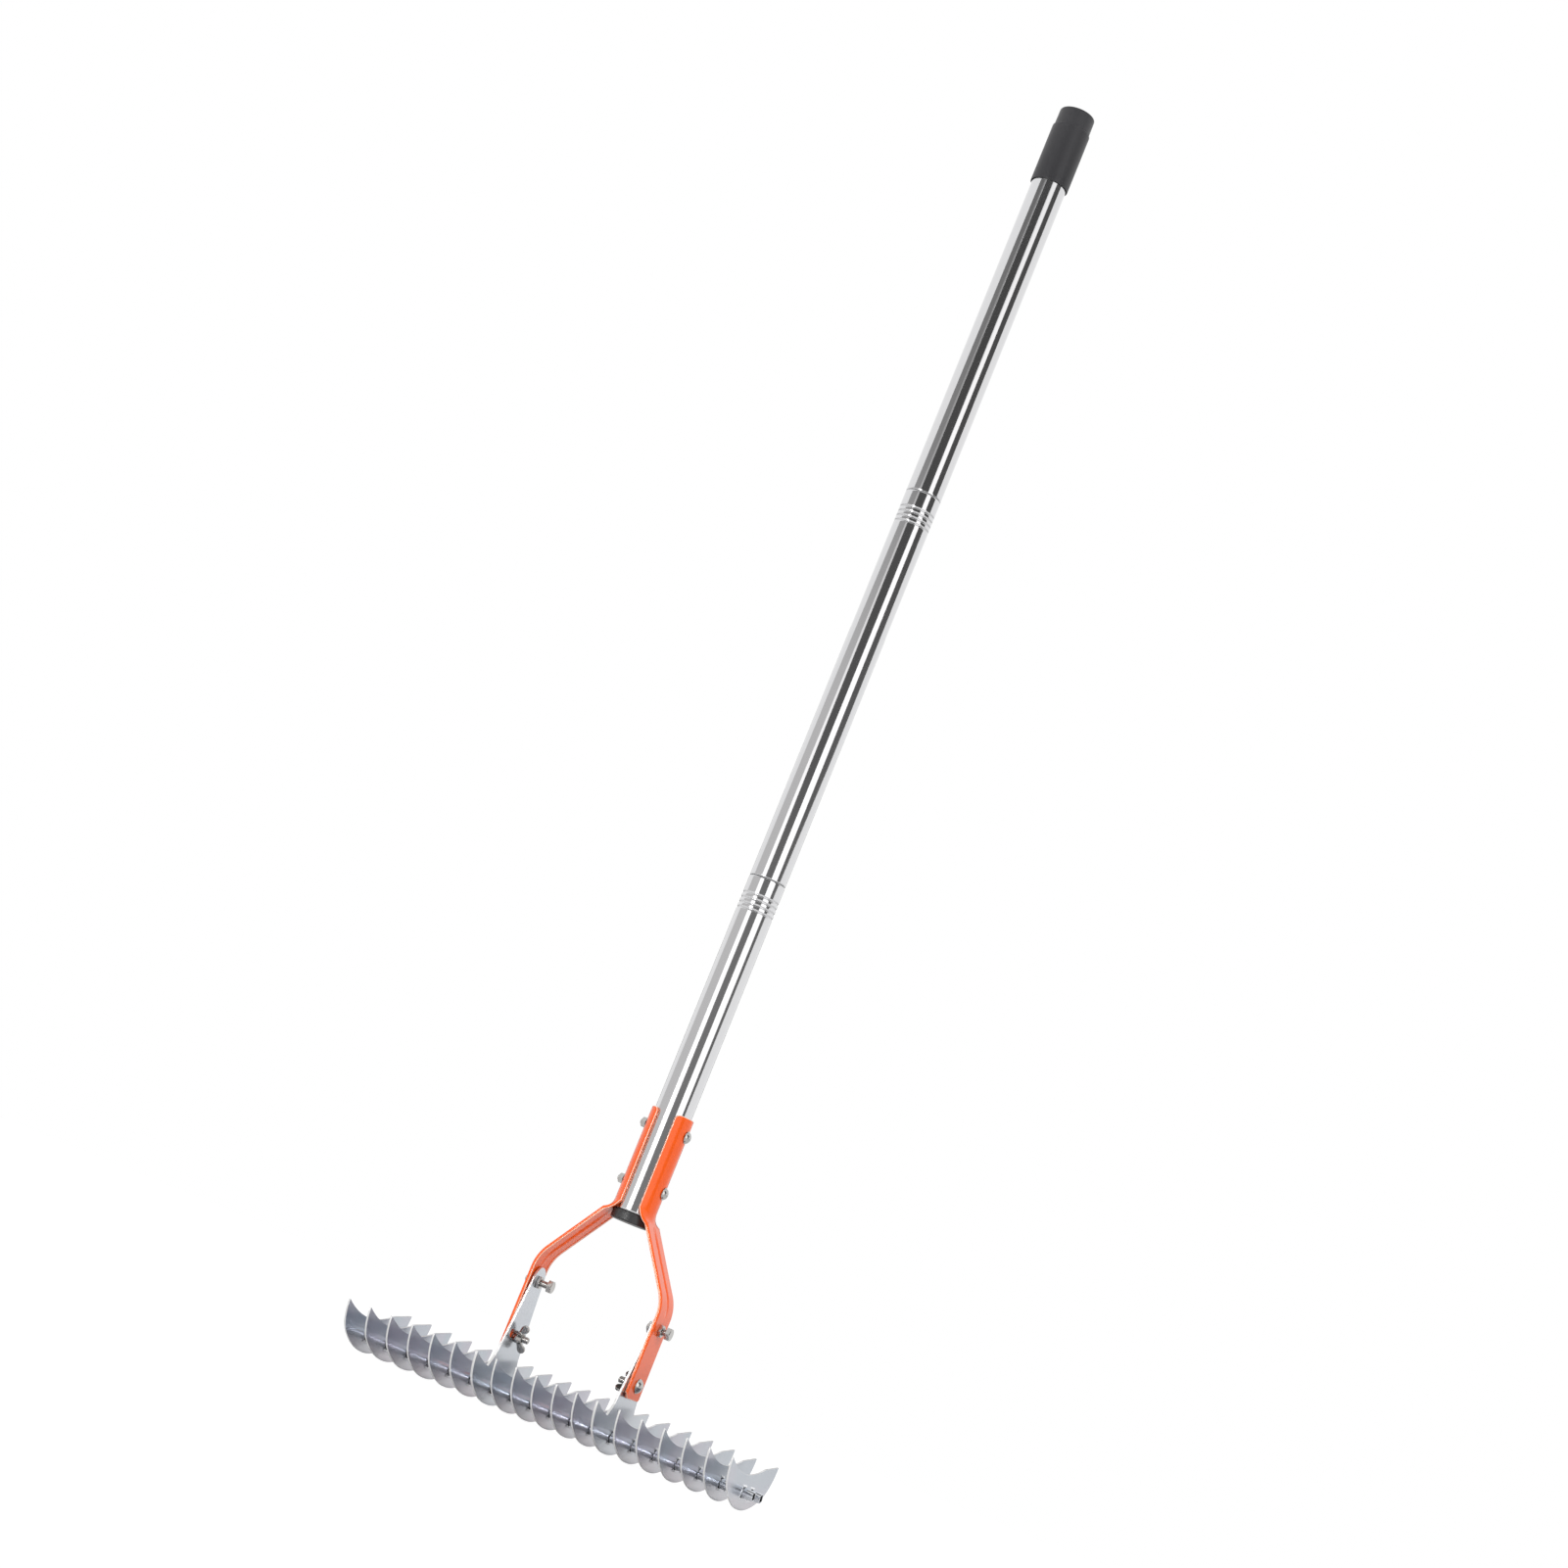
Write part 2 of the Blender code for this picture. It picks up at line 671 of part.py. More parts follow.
# Hand grip, a sleeve over the top of the pole with a solid, slightly narrower cap
grip_bore = pole_radius + fit_gap
grip_radius = grip_bore + grip_wall
grip_bore_end = pole_top_height + fit_gap
grip_top = grip_bore_end + grip_cap_height
grip_foot = grip_top - grip_height
cap_radius = grip_radius - grip_cap_inset
cap_top_radius = cap_radius - grip_cap_taper
grip_profile = [(0, grip_bore_end), (grip_bore, grip_bore_end), (grip_bore, grip_foot),
                (grip_radius - grip_foot_chamfer, grip_foot), (grip_radius, grip_foot + grip_foot_chamfer),
                (grip_radius, grip_bore_end), (cap_radius, grip_bore_end + grip_cap_run_in)]
for step in range(edge_steps + 1):
    turn = math.pi / 2 * step / edge_steps
    grip_profile.append((cap_top_radius - grip_edge_radius * (1 - math.cos(turn)),
                         grip_top - grip_edge_radius * (1 - math.sin(turn))))
grip_profile.append((0, grip_top))
add_object("hand_grip", turned(grip_profile, pole_facets), black_moulding, 40)


# Fasteners. Each is built along X from its seat and then put in place.
def dome_bolt(shank_end, shank_radius, head_radius, head_height):
    """A bolt whose domed head stands at +X of its seat and whose shank runs to -X."""
    cap_radius = (head_radius**2 + head_height**2) / (2 * head_height)
    spread = math.asin(head_radius / cap_radius)
    rings = [(head_height, 0)]
    for step in range(1, dome_steps + 1):
        turn = spread * step / dome_steps
        rings.append((head_height - cap_radius * (1 - math.cos(turn)), cap_radius * math.sin(turn)))
    return ringed([*rings, (0, shank_radius), (-shank_end, shank_radius), (-shank_end, 0)])


def hex_bolt(shank_end):
    """A bolt whose hexagon head stands at +X of the origin and whose shank runs to -X."""
    end_radius = hex_end_share * nut_across_flats / 2
    return ringed([(hex_head_thickness, 0), (hex_head_thickness, end_radius),
                   (hex_head_thickness - hex_chamfer, "hex"), (0, "hex"), (0, bolt_radius),
                   (-shank_end, bolt_radius), (-shank_end, 0)])


def hex_nut(thickness, across_flats=nut_across_flats, bore_radius=bolt_hole_radius):
    """A nut with its seat at the origin, standing to +X."""
    end_radius = hex_end_share * across_flats / 2
    return ringed([(0, bore_radius), (0, "hex"), (thickness - hex_chamfer, "hex"),
                   (thickness, end_radius), (thickness, bore_radius)], across_flats)


saddle_seat = saddle_radius + fit_gap
for name, height in (("upper", upper_pole_bolt_height), ("lower", lower_pole_bolt_height)):
    through_length = 2 * saddle_seat + pole_nut_thickness + bolt_end_reach
    bolt_shape = dome_bolt(through_length, pole_bolt_radius, pole_bolt_head_radius, pole_bolt_head_height)
    bolt = add_object(f"{name}_pole_bolt", bolt_shape, bright_fastener, 40)
    place(bolt, saddle_seat, height)
    nut_shape = hex_nut(pole_nut_thickness, pole_nut_across_flats, pole_bolt_hole_radius)
    nut = add_object(f"{name}_pole_nut", nut_shape, bright_fastener)
    place(nut, -saddle_seat, height, half_turn=True)

outer_seat = web_face + fit_gap
inner_seat = arm_inner_face - fit_gap
clamped_thickness = outer_seat - inner_seat
thread_end = nut_thickness + bolt_end_reach

for name, head_stand, bolt_seat, nut_seat in (("left", left_pivot_head_stand, -inner_seat, -outer_seat),
                                              ("right", right_pivot_head_stand, outer_seat, inner_seat)):
    shank = head_stand + clamped_thickness + thread_end
    pivot_bolt = add_object(f"{name}_pivot_bolt", hex_bolt(shank), bright_fastener, 40)
    place(pivot_bolt, bolt_seat + head_stand, pivot_height)
    locknut = add_object(f"{name}_pivot_locknut", hex_nut(locknut_thickness), bright_fastener)
    place(locknut, bolt_seat, pivot_height)
    pivot_nut = add_object(f"{name}_pivot_nut", hex_nut(nut_thickness), bright_fastener)
    place(pivot_nut, nut_seat, pivot_height, half_turn=True)

clamp_shank = clamped_thickness - fit_gap + clamp_bolt_reach
for name, side in (("left", left), ("right", right)):
    bolt_shape = dome_bolt(clamp_shank, bolt_radius, dome_head_radius, dome_head_height)
    clamp_bolt = add_object(f"{name}_clamp_bolt", bolt_shape, bright_fastener, 40)
    place(clamp_bolt, side * outer_seat, clamp_height, half_turn=side == left)


def wing_outline():
    """Both wings seen from the side, as (distance along the bolt, distance across it) points."""
    ear_y = wing_span_radius - wing_ear_radius
    ear_x = wing_rise - wing_ear_radius
    upper = [(wing_root_height, 0.0), (wing_root_height, wing_root_share * wing_hub_radius)]
    for step in range(ear_steps + 1):
        turn = math.radians(ear_first_angle_deg + ear_sweep_deg * step / ear_steps)
        upper.append((ear_x + wing_ear_radius * math.sin(turn), ear_y + wing_ear_radius * math.cos(turn)))
    upper.append((wing_crotch_share * wing_hub_length, wing_crotch_share * wing_hub_radius))
    return upper + [(x, -y) for x, y in reversed(upper) if y > 0]


def wing_plate(name, turn):
    """A guide plate of both wings, turned about the bolt, that is joined to the hub."""
    bm = bmesh.new()
    verts = [bm.verts.new((x, y, -wing_thickness / 2)) for x, y in wing_outline()]
    face = bm.faces.new(verts)
    grown = bmesh.ops.extrude_face_region(bm, geom=[face])["geom"]
    top = [item for item in grown if isinstance(item, bmesh.types.BMVert)]
    bmesh.ops.translate(bm, verts=top, vec=(0, 0, wing_thickness))
    bmesh.ops.recalc_face_normals(bm, faces=bm.faces)
    plate = guide(add_object(name, bm, bright_fastener))
    plate.rotation_euler.x = turn
    return plate


for name, side, turn_deg in (("left", left, left_wing_turn_deg), ("right", right, right_wing_turn_deg)):
    hub = ringed([(0, 0), (0, wing_hub_radius), (wing_hub_rim_height, wing_hub_radius),
                  (wing_hub_length, wing_hub_end_share * wing_hub_radius), (wing_hub_length, 0)])
    wing_nut = add_object(f"{name}_wing_nut", hub, bright_fastener, 40)
    place(wing_nut, side * inner_seat, clamp_height, half_turn=side == right)
    plate = wing_plate(f"{name}_wing_plate", math.radians(turn_deg))
    plate.parent = wing_nut
    reach = 2 * wing_hub_length
    bore_profile = [(0, -reach), (bolt_hole_radius, -reach), (bolt_hole_radius, reach), (0, reach)]
    bore = guide(add_object(f"{name}_wing_bore", turned(bore_profile, fastener_facets, "X"), bright_fastener))
    bore.parent = wing_nut
    boolean(wing_nut, "UNION", plate)
    boolean(wing_nut, "DIFFERENCE", bore)
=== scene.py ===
"""Thatch rake: a stainless pole with a black grip, two orange brackets and a row of zinc plated blades."""

import functools
import math

import bmesh
import bpy
from mathutils import Matrix, Vector


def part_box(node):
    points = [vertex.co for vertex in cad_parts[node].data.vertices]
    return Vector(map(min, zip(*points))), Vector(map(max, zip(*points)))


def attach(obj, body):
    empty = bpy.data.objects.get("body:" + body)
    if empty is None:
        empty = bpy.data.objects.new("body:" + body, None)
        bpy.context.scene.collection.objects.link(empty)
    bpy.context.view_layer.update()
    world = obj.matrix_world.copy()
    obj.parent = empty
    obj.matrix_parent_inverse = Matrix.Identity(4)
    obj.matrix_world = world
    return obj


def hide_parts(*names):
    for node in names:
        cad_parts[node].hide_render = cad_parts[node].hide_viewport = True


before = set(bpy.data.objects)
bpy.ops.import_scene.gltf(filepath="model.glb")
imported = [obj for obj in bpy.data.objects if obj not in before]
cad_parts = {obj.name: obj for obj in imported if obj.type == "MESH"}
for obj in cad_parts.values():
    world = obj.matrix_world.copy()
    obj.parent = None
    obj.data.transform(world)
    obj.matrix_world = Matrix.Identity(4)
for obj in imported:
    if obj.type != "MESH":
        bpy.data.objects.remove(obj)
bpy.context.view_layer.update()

# Pole
# Three lengths of polished 32 mm stainless tube, screwed end to end.
# Below each seam four rolled rings crimp the wall onto the threaded core inside.
pole_radius = 0.016
pole_wall = 0.0012
pole_facets = 112
fit_gap = 0.0003
merge_distance = 1e-7
seam_chamfer = 0.0007
ring_count = 4
ring_pitch = 0.0045
ring_depth = 0.0007
ring_half_width = 0.0013
ring_steps = 12
first_ring_drop = 0.0158
steel_tone = (0.735, 0.73, 0.735, 1.0)
steel_cool_tone = (0.69, 0.695, 0.71, 1.0)


class Value:
    """An output socket. Arithmetic on it adds Math nodes to its tree."""

    def __init__(self, board, socket):
        self.board = board
        self.socket = socket

    def maths(self, operation, *values):
        return self.board.node("ShaderNodeMath", {"operation": operation}, dict(enumerate(values)))

    def __add__(self, other):
        return self.maths("ADD", self, other)

    def __radd__(self, other):
        return self.maths("ADD", other, self)

    def __sub__(self, other):
        return self.maths("SUBTRACT", self, other)

    def __rsub__(self, other):
        return self.maths("SUBTRACT", other, self)

    def __mul__(self, other):
        return self.maths("MULTIPLY", self, other)

    def __rmul__(self, other):
        return self.maths("MULTIPLY", other, self)

    def __abs__(self):
        return self.maths("ABSOLUTE", self)


class Board:
    """Builds one node tree: a finish, or a form that repeats."""

    def __init__(self, tree):
        self.tree = tree

    def socket(self, sockets, key):
        if isinstance(key, int):
            return sockets[key]
        return next(found for found in sockets if key in (found.identifier, found.name))

    def node(self, kind, settings=None, sockets=None, output=0):
        made = self.tree.nodes.new(kind)
        for name, setting in (settings or {}).items():
            setattr(made, name, setting)
        for key, value in (sockets or {}).items():
            target = self.socket(made.inputs, key)
            for one in value if isinstance(value, list) else [value]:
                if isinstance(one, Value):
                    self.tree.links.new(one.socket, target)
                else:
                    target.default_value = one
        return Value(self, self.socket(made.outputs, output))


class Finish(Board):
    """A Principled material whose marks are laid out in the piece's own coordinates."""

    def __init__(self, name, **plain):
        self.material = bpy.data.materials.new(name)
        self.material.use_nodes = True
        super().__init__(self.material.node_tree)
        self.shader = self.tree.nodes["Principled BSDF"]
        for label, value in plain.items():
            self.shader.inputs[label.replace("_", " ")].default_value = value
        self.place = self.node("ShaderNodeTexCoord", output="Object")

    def grain(self, scale, stretch=(1.0, 1.0, 1.0), detail=3.0):
        """Noise from 0 to 1, drawn out along the axes whose stretch is small."""
        mapped = self.node("ShaderNodeMapping", {}, {"Vector": self.place, "Scale": stretch})
        sockets = {"Vector": mapped, "Scale": scale, "Detail": detail}
        return self.node("ShaderNodeTexNoise", {}, sockets, "Fac")

    def masked(self, value, low, high):
        """0 below low, 1 above high, and a smooth step between."""
        settings = {"interpolation_type": "SMOOTHSTEP"}
        return self.node("ShaderNodeMapRange", settings, {"Value": value, "From Min": low, "From Max": high})

    def mixed(self, share, first, second):
        """The first colour, blended towards the second by the share."""
        sockets = {"Factor_Float": share, "A_Color": first, "B_Color": second}
        return self.node("ShaderNodeMix", {"data_type": "RGBA"}, sockets, "Result_Color")

    def feed(self, label, value):
        self.tree.links.new(value.socket, self.shader.inputs[label])

    def dent(self, height, distance, strength):
        """Fine relief, which the light shows and the outline doesn't."""
        sockets = {"Height": height, "Distance": distance, "Strength": strength}
        self.feed("Normal", self.node("ShaderNodeBump", {}, sockets))


def turned(profile, facets, axis="Z"):
    """Revolves (radius, distance) points: a closed section, or a line from axis to axis."""
    bm = bmesh.new()
    if axis == "Z":
        verts = [bm.verts.new((radius, 0, distance)) for radius, distance in profile]
    else:
        verts = [bm.verts.new((distance, radius, 0)) for radius, distance in profile]
    edges = [bm.edges.new(pair) for pair in zip(verts, verts[1:])]
    if profile[0][0] > 0:
        edges.append(bm.edges.new((verts[-1], verts[0])))
    direction = (0, 0, 1) if axis == "Z" else (1, 0, 0)
    bmesh.ops.spin(bm, geom=verts + edges, cent=(0, 0, 0), axis=direction, angle=2 * math.pi,
                   steps=facets, use_merge=True, use_duplicate=False)
    bmesh.ops.remove_doubles(bm, verts=bm.verts, dist=merge_distance)
    bmesh.ops.recalc_face_normals(bm, faces=bm.faces)
    return bm


def piece(name, bm, finish, smooth_deg=None, matrix=None):
    """A finished object at the origin, with its place in its mesh."""
    if matrix:
        bmesh.ops.transform(bm, matrix=matrix, verts=bm.verts)
    mesh = bpy.data.meshes.new(name)
    bm.to_mesh(mesh)
    bm.free()
    if smooth_deg:
        mesh.shade_smooth()
        mesh.set_sharp_from_angle(angle=math.radians(smooth_deg))
    mesh.materials.append(finish.material)
    obj = bpy.data.objects.new(name, mesh)
    bpy.context.scene.collection.objects.link(obj)
    return obj


def fitted(obj, body, slot, *nodes):
    """Puts a piece in the place of its CAD nodes, on their body."""
    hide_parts(*nodes)
    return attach(obj, body)


def rolled_ring(height):
    """A smooth groove in the pole's wall, as points going up."""
    reach = 1.25 * ring_half_width
    points = [(pole_radius, height - reach)]
    for step in range(ring_steps + 1):
        share = step / ring_steps
        dip = ring_depth * 0.5 * (1 - math.cos(2 * math.pi * share))
        points.append((pole_radius - dip, height + ring_half_width * (2 * share - 1)))
    return points + [(pole_radius, height + reach)]


polished_steel = Finish("polished_stainless", Metallic=1.0)
drawn = polished_steel.grain(90.0, (1.0, 1.0, 0.012), 5.0)
smudge = polished_steel.grain(14.0, (1.0, 1.0, 0.5), 2.0)
polished_steel.feed("Base Color", polished_steel.mixed(smudge, steel_tone, steel_cool_tone))
polished_steel.feed("Roughness", 0.055 + drawn * 0.05 + smudge * 0.02)
polished_steel.dent(polished_steel.grain(600.0, (1.0, 1.0, 0.01), 2.0), 0.00002, 0.15)

for name, node, ringed in (("bottom_tube", "pole_bottom_section", True),
                           ("middle_tube", "pole_middle_section", True),
                           ("top_tube", "pole_top_section", False)):
    low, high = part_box(node)
    wall = [(pole_radius - seam_chamfer, low.z), (pole_radius - seam_chamfer / 3, low.z + seam_chamfer / 3),
            (pole_radius, low.z + seam_chamfer), (pole_radius, low.z + 2 * seam_chamfer)]
    if ringed:
        for number in reversed(range(ring_count)):
            wall += rolled_ring(high.z - first_ring_drop - number * ring_pitch)
    wall += [(pole_radius, high.z - 2 * seam_chamfer), (pole_radius, high.z - seam_chamfer),
             (pole_radius - seam_chamfer / 3, high.z - seam_chamfer / 3),
             (pole_radius - seam_chamfer, high.z)]
    bore = pole_radius - pole_wall
    wall += [(bore, high.z), (bore, low.z)]
    tube = piece(name, turned(wall, pole_facets), polished_steel, smooth_deg=35)
    fitted(tube, "root", "pole_steel", node)

# Cores of the pole's joints
# A grey moulded stud is crimped into one tube and screws into a socket in the next.
# They stay out of sight inside the pole, so the CAD solids are kept and get their moulded finish.
moulded_grey = Finish("moulded_grey_core", Roughness=0.5)
flow = moulded_grey.grain(40.0, (1.0, 1.0, 0.3), 4.0)
moulded_grey.feed("Base Color", moulded_grey.mixed(flow, (0.22, 0.22, 0.23, 1.0), (0.30, 0.30, 0.31, 1.0)))
moulded_grey.dent(moulded_grey.grain(900.0), 0.00003, 0.2)
for node in ("lower_joint_stud", "lower_joint_socket", "upper_joint_stud", "upper_joint_socket"):
    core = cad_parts[node]
    core.data.materials.clear()
    core.data.materials.append(moulded_grey.material)

# Plug in the pole's foot
# A glossy black moulding, pressed into the tube, with a rolled rim that covers the tube's cut edge.
plug_rim_radius = 0.0014
plug_rim_steps = 6
plug_facets = 96
gloss_black = Finish("black_plug_moulding")
gloss_black.feed("Base Color", gloss_black.mixed(gloss_black.grain(60.0), (0.026, 0.026, 0.027, 1.0),
                                                 (0.042, 0.042, 0.043, 1.0)))
gloss_black.feed("Roughness", 0.34 + gloss_black.grain(220.0, detail=4.0) * 0.10)
gloss_black.dent(gloss_black.grain(500.0), 0.00002, 0.2)

low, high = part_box("pole_end_plug")
plug_radius = high.x
plug_collar_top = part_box("pole_bottom_section")[0].z - fit_gap
plug = [(0, low.z)]
for centre_z, first_turn in ((low.z + plug_rim_radius, -90), (plug_collar_top - plug_rim_radius, 0)):
    for step in range(plug_rim_steps + 1):
        turn = math.radians(first_turn + 90 * step / plug_rim_steps)
        plug.append((plug_radius - plug_rim_radius * (1 - math.cos(turn)),
                     centre_z + plug_rim_radius * math.sin(turn)))
plug_neck = pole_radius - pole_wall - fit_gap
plug += [(plug_neck, plug_collar_top), (plug_neck, high.z), (0, high.z)]
foot_plug = piece("foot_plug", turned(plug, plug_facets), gloss_black, smooth_deg=40)
fitted(foot_plug, "root", "end_plug", "pole_end_plug")

# Grip
# A soft black sleeve, moulded to shape and pushed over the pole. Past the pole's end it draws in to a
# solid cap with a rounded edge.
grip_bore = 0.0163
grip_bore_run = 0.0004
grip_cap_inset = 0.0010
grip_cap_run_in = 0.0012
grip_cap_taper = 0.0002
grip_edge_radius = 0.0018
grip_curve_steps = 8
grip_facets = 112
grip_black = Finish("soft_black_grip", Roughness=0.5, Sheen_Weight=0.12, Sheen_Roughness=0.4)
rubbed = grip_black.grain(45.0, (1.0, 1.0, 0.25), 4.0)
grip_black.feed("Base Color", grip_black.mixed(rubbed, (0.020, 0.020, 0.023, 1.0),
                                               (0.034, 0.033, 0.037, 1.0)))
grip_black.feed("Roughness", 0.42 + rubbed * 0.16)
grip_black.dent(grip_black.grain(1400.0, detail=5.0), 0.00006, 0.35)

low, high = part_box("hand_grip")
grip_radius = high.x
pole_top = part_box("pole_top_section")[1].z
cap_foot = pole_top + fit_gap
lip = (grip_radius - grip_bore) / 2
grip = [(0, cap_foot), (grip_bore, cap_foot), (grip_bore, low.z + grip_bore_run)]
for turn_deg in range(180, 361, 30):
    turn = math.radians(turn_deg)
    grip.append((grip_bore + lip + lip * math.cos(turn), low.z + lip + lip * math.sin(turn)))
grip.append((grip_radius, cap_foot - grip_cap_run_in))
for step in range(grip_curve_steps + 1):
    share = step / grip_curve_steps
    drawn_in = grip_cap_inset * 0.5 * (1 - math.cos(math.pi * share))
    grip.append((grip_radius - drawn_in, cap_foot + grip_cap_run_in * share))
cap_radius = grip_radius - grip_cap_inset - grip_cap_taper
for step in range(grip_curve_steps + 1):
    turn = math.pi / 2 * step / grip_curve_steps
    grip.append((cap_radius - grip_edge_radius * (1 - math.cos(turn)),
                 high.z - grip_edge_radius * (1 - math.sin(turn))))
grip.append((0, high.z))
grip_sleeve = piece("grip_sleeve", turned(grip, grip_facets), grip_black, smooth_deg=40)
fitted(grip_sleeve, "root", "grip", "hand_grip")

# Brackets
# Each is one strip of 2.2 mm sheet, pressed into a saddle on the pole and a shallow lipped channel
# beside the arm, with a bead along its slant, and coated in glossy orange.
bracket_sheet = 0.0022
bracket_half_width = 0.0173
lip_depth = 0.0030
lip_corner = 0.0012
outer_bend_radius = 0.036
inner_bend_radius = 0.014
saddle_half_angle = math.radians(62.0)
saddle_run_out = 0.0015
bead_half_width = 0.0034
bead_depth = 0.0013
bottom_corner = 0.004
top_corner = 0.003
outer_bend_height = 0.1290
inner_bend_height = 0.1886
bead_fade_share = 0.25
coated_edge_radius = 0.0005
channel_shares = (0.0, 0.08, 0.2, 0.4, 0.6, 0.8, 0.93, 1.0)
saddle_shares = (0.25, 0.5, 0.75, 0.9, 0.955, 1.0)
bend_steps = 12
slant_steps = 12
run_out_steps = 4
section_steps = 8

low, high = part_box("right_bracket")
web_face = high.x
bracket_foot = low.z
bracket_top = high.z
saddle_radius = pole_radius + fit_gap + bracket_sheet

orange_coat = Finish("glossy_orange_coat", Specular_Tint=(1.0, 0.86, 0.78, 1.0))
cloud = orange_coat.grain(30.0, detail=3.0)
orange_coat.feed("Base Color", orange_coat.mixed(cloud, (0.93, 0.105, 0.008, 1.0), (0.99, 0.130, 0.012, 1.0)))
orange_coat.feed("Roughness", 0.12 + orange_coat.grain(120.0) * 0.05)
orange_coat.dent(orange_coat.grain(90.0, detail=1.0), 0.00001, 0.03)
# Cream orange on the rounded edges: a painted highlight, where the lamps would catch the glossy coat.
edge_highlight_coat = Finish("thin_orange_coat", Roughness=0.14)
edge_highlight_coat.feed("Base Color", edge_highlight_coat.mixed(edge_highlight_coat.grain(60.0, detail=3.0), (1.0, 0.58, 0.42, 1.0),
                                             (1.0, 0.74, 0.58, 1.0)))


def slant_stations():
    """(x, z, lean, share of the way to the saddle, bead) up the middle of the outer face."""
    lean = math.atan2(web_face - saddle_radius, inner_bend_height - outer_bend_height)
    lower_end = outer_bend_height - outer_bend_radius * math.tan(lean / 2)
    outer_centre = (web_face - outer_bend_radius, lower_end)
    inner_centre = (saddle_radius + inner_bend_radius,
                    inner_bend_height + inner_bend_radius * math.tan(lean / 2))
    stations = []
    for share in channel_shares:
        stations.append((web_face, bracket_foot + (lower_end - bracket_foot) * share, 0.0, 0.0, 0.0))
    for step in range(1, bend_steps + 1):
        turn = lean * step / bend_steps
        stations.append((outer_centre[0] + outer_bend_radius * math.cos(turn),
                         outer_centre[1] + outer_bend_radius * math.sin(turn), turn, 0.0, step / bend_steps))
    start = stations[-1]
    end = (inner_centre[0] - inner_bend_radius * math.cos(lean),
           inner_centre[1] - inner_bend_radius * math.sin(lean))
    for step in range(1, slant_steps + 1):
        share = step / slant_steps
        bead = min(1.0, (1 - share) / bead_fade_share)
        stations.append((start[0] + (end[0] - start[0]) * share, start[1] + (end[1] - start[1]) * share,
                         lean, 0.0, bead))
    saddle_start = inner_centre[1] + saddle_run_out
    for step in range(1, bend_steps + 1):
        turn = lean * (1 - step / bend_steps)
        height = inner_centre[1] - inner_bend_radius * math.sin(turn)
        share = (height - end[1]) / (saddle_start - end[1])
        stations.append((inner_centre[0] - inner_bend_radius * math.cos(turn), height, turn, share, 0.0))
    for step in range(1, run_out_steps + 1):
        height = inner_centre[1] + saddle_run_out * step / run_out_steps
        stations.append((saddle_radius, height, 0.0, (height - end[1]) / (saddle_start - end[1]), 0.0))
    for share in saddle_shares:
        stations.append((saddle_radius, saddle_start + (bracket_top - saddle_start) * share, 0.0, 1.0, 0.0))
    return stations


def strip_half():
    """Half of the strip's section, from the middle out: (y, depth, girth, bead share)."""
    flat = bracket_half_width - lip_corner
    columns = []
    for step in range(section_steps + 1):
        y = bead_half_width * step / section_steps
        columns.append((y, 0.0, y, 0.5 * (1 + math.cos(math.pi * step / section_steps))))
    for step in range(1, section_steps + 1):
        y = bead_half_width + (flat - bead_half_width) * step / section_steps
        columns.append((y, 0.0, y, 0.0))
    for step in range(1, section_steps + 1):
        turn = math.pi / 2 * step / section_steps
        columns.append((flat + lip_corner * math.sin(turn), lip_corner * (1 - math.cos(turn)),
                        flat + lip_corner * turn, 0.0))
    columns.append((bracket_half_width, lip_depth, columns[-1][2] + lip_depth - lip_corner, 0.0))
    return columns


def corner_trim(y, half_width, radius):
    """How far a strip's rounded end is cut back at y."""
    past = max(0.0, abs(y) - (half_width - radius))
    return radius - math.sqrt(max(0.0, radius**2 - past**2))


def pressed_strip(side):
    """The outer face of a bracket, as rows of its section up the stations."""
    half = strip_half()
    girth = half[-1][2]
    columns = [(-1, column) for column in reversed(half[1:])] + [(1, column) for column in half]
    saddle_half_width = saddle_radius * math.sin(saddle_half_angle)
    bm = bmesh.new()
    rows = []
    for x, z, lean, saddle_share, bead in slant_stations():
        row = []
        for sign, (channel_y, channel_depth, reach, bead_share) in columns:
            wrap = saddle_half_angle * reach / girth
            y = channel_y + (saddle_radius * math.sin(wrap) - channel_y) * saddle_share
            depth = channel_depth + (saddle_radius * (1 - math.cos(wrap)) - channel_depth) * saddle_share
            depth += bead_depth * bead_share * bead
            height = z - depth * math.sin(lean)
            if saddle_share == 0.0 and lean == 0.0:
                height = max(height, bracket_foot + corner_trim(y, bracket_half_width, bottom_corner))
            if saddle_share == 1.0:
                height = min(height, bracket_top - corner_trim(y, saddle_half_width, top_corner))
            row.append(bm.verts.new((side * (x - depth * math.cos(lean)), sign * y, height)))
        rows.append(row)
    for lower, upper in zip(rows, rows[1:]):
        for column in range(len(columns) - 1):
            corners = [lower[column], lower[column + 1], upper[column + 1], upper[column]]
            bm.faces.new(corners if side > 0 else corners[::-1])
    bmesh.ops.remove_doubles(bm, verts=bm.verts, dist=merge_distance)
    return bm


def thickened(obj, sheet, offset):
    """Gives a skin the thickness of its sheet: inwards at an offset of -1, and both ways at 0."""
    thickness = obj.modifiers.new("sheet", "SOLIDIFY")
    thickness.thickness = sheet
    thickness.offset = offset
    thickness.use_even_offset = True


def rounded(obj, label, width, segments, limit_deg):
    """Rounds the edges where the faces turn by more than the limit."""
    rounding = obj.modifiers.new(label, "BEVEL")
    rounding.width = width
    rounding.segments = segments
    rounding.limit_method = "ANGLE"
    rounding.angle_limit = math.radians(limit_deg)
    return rounding


for name, side, node in (("left_pressed_bracket", -1, "left_bracket"),
                         ("right_pressed_bracket", 1, "right_bracket")):
    bracket = piece(name, pressed_strip(side), orange_coat, smooth_deg=40)
    bracket.data.materials.append(edge_highlight_coat.material)
    thickened(bracket, bracket_sheet, -1.0)
    rounding = rounded(bracket, "rounded_edges", coated_edge_radius, segments=2, limit_deg=50)
    rounding.use_clamp_overlap = False
    rounding.harden_normals = True
    # The rounded edges take the cream second material, a painted highlight.
    rounding.material = 1
    fitted(bracket, "root", "bracket_paint", node)

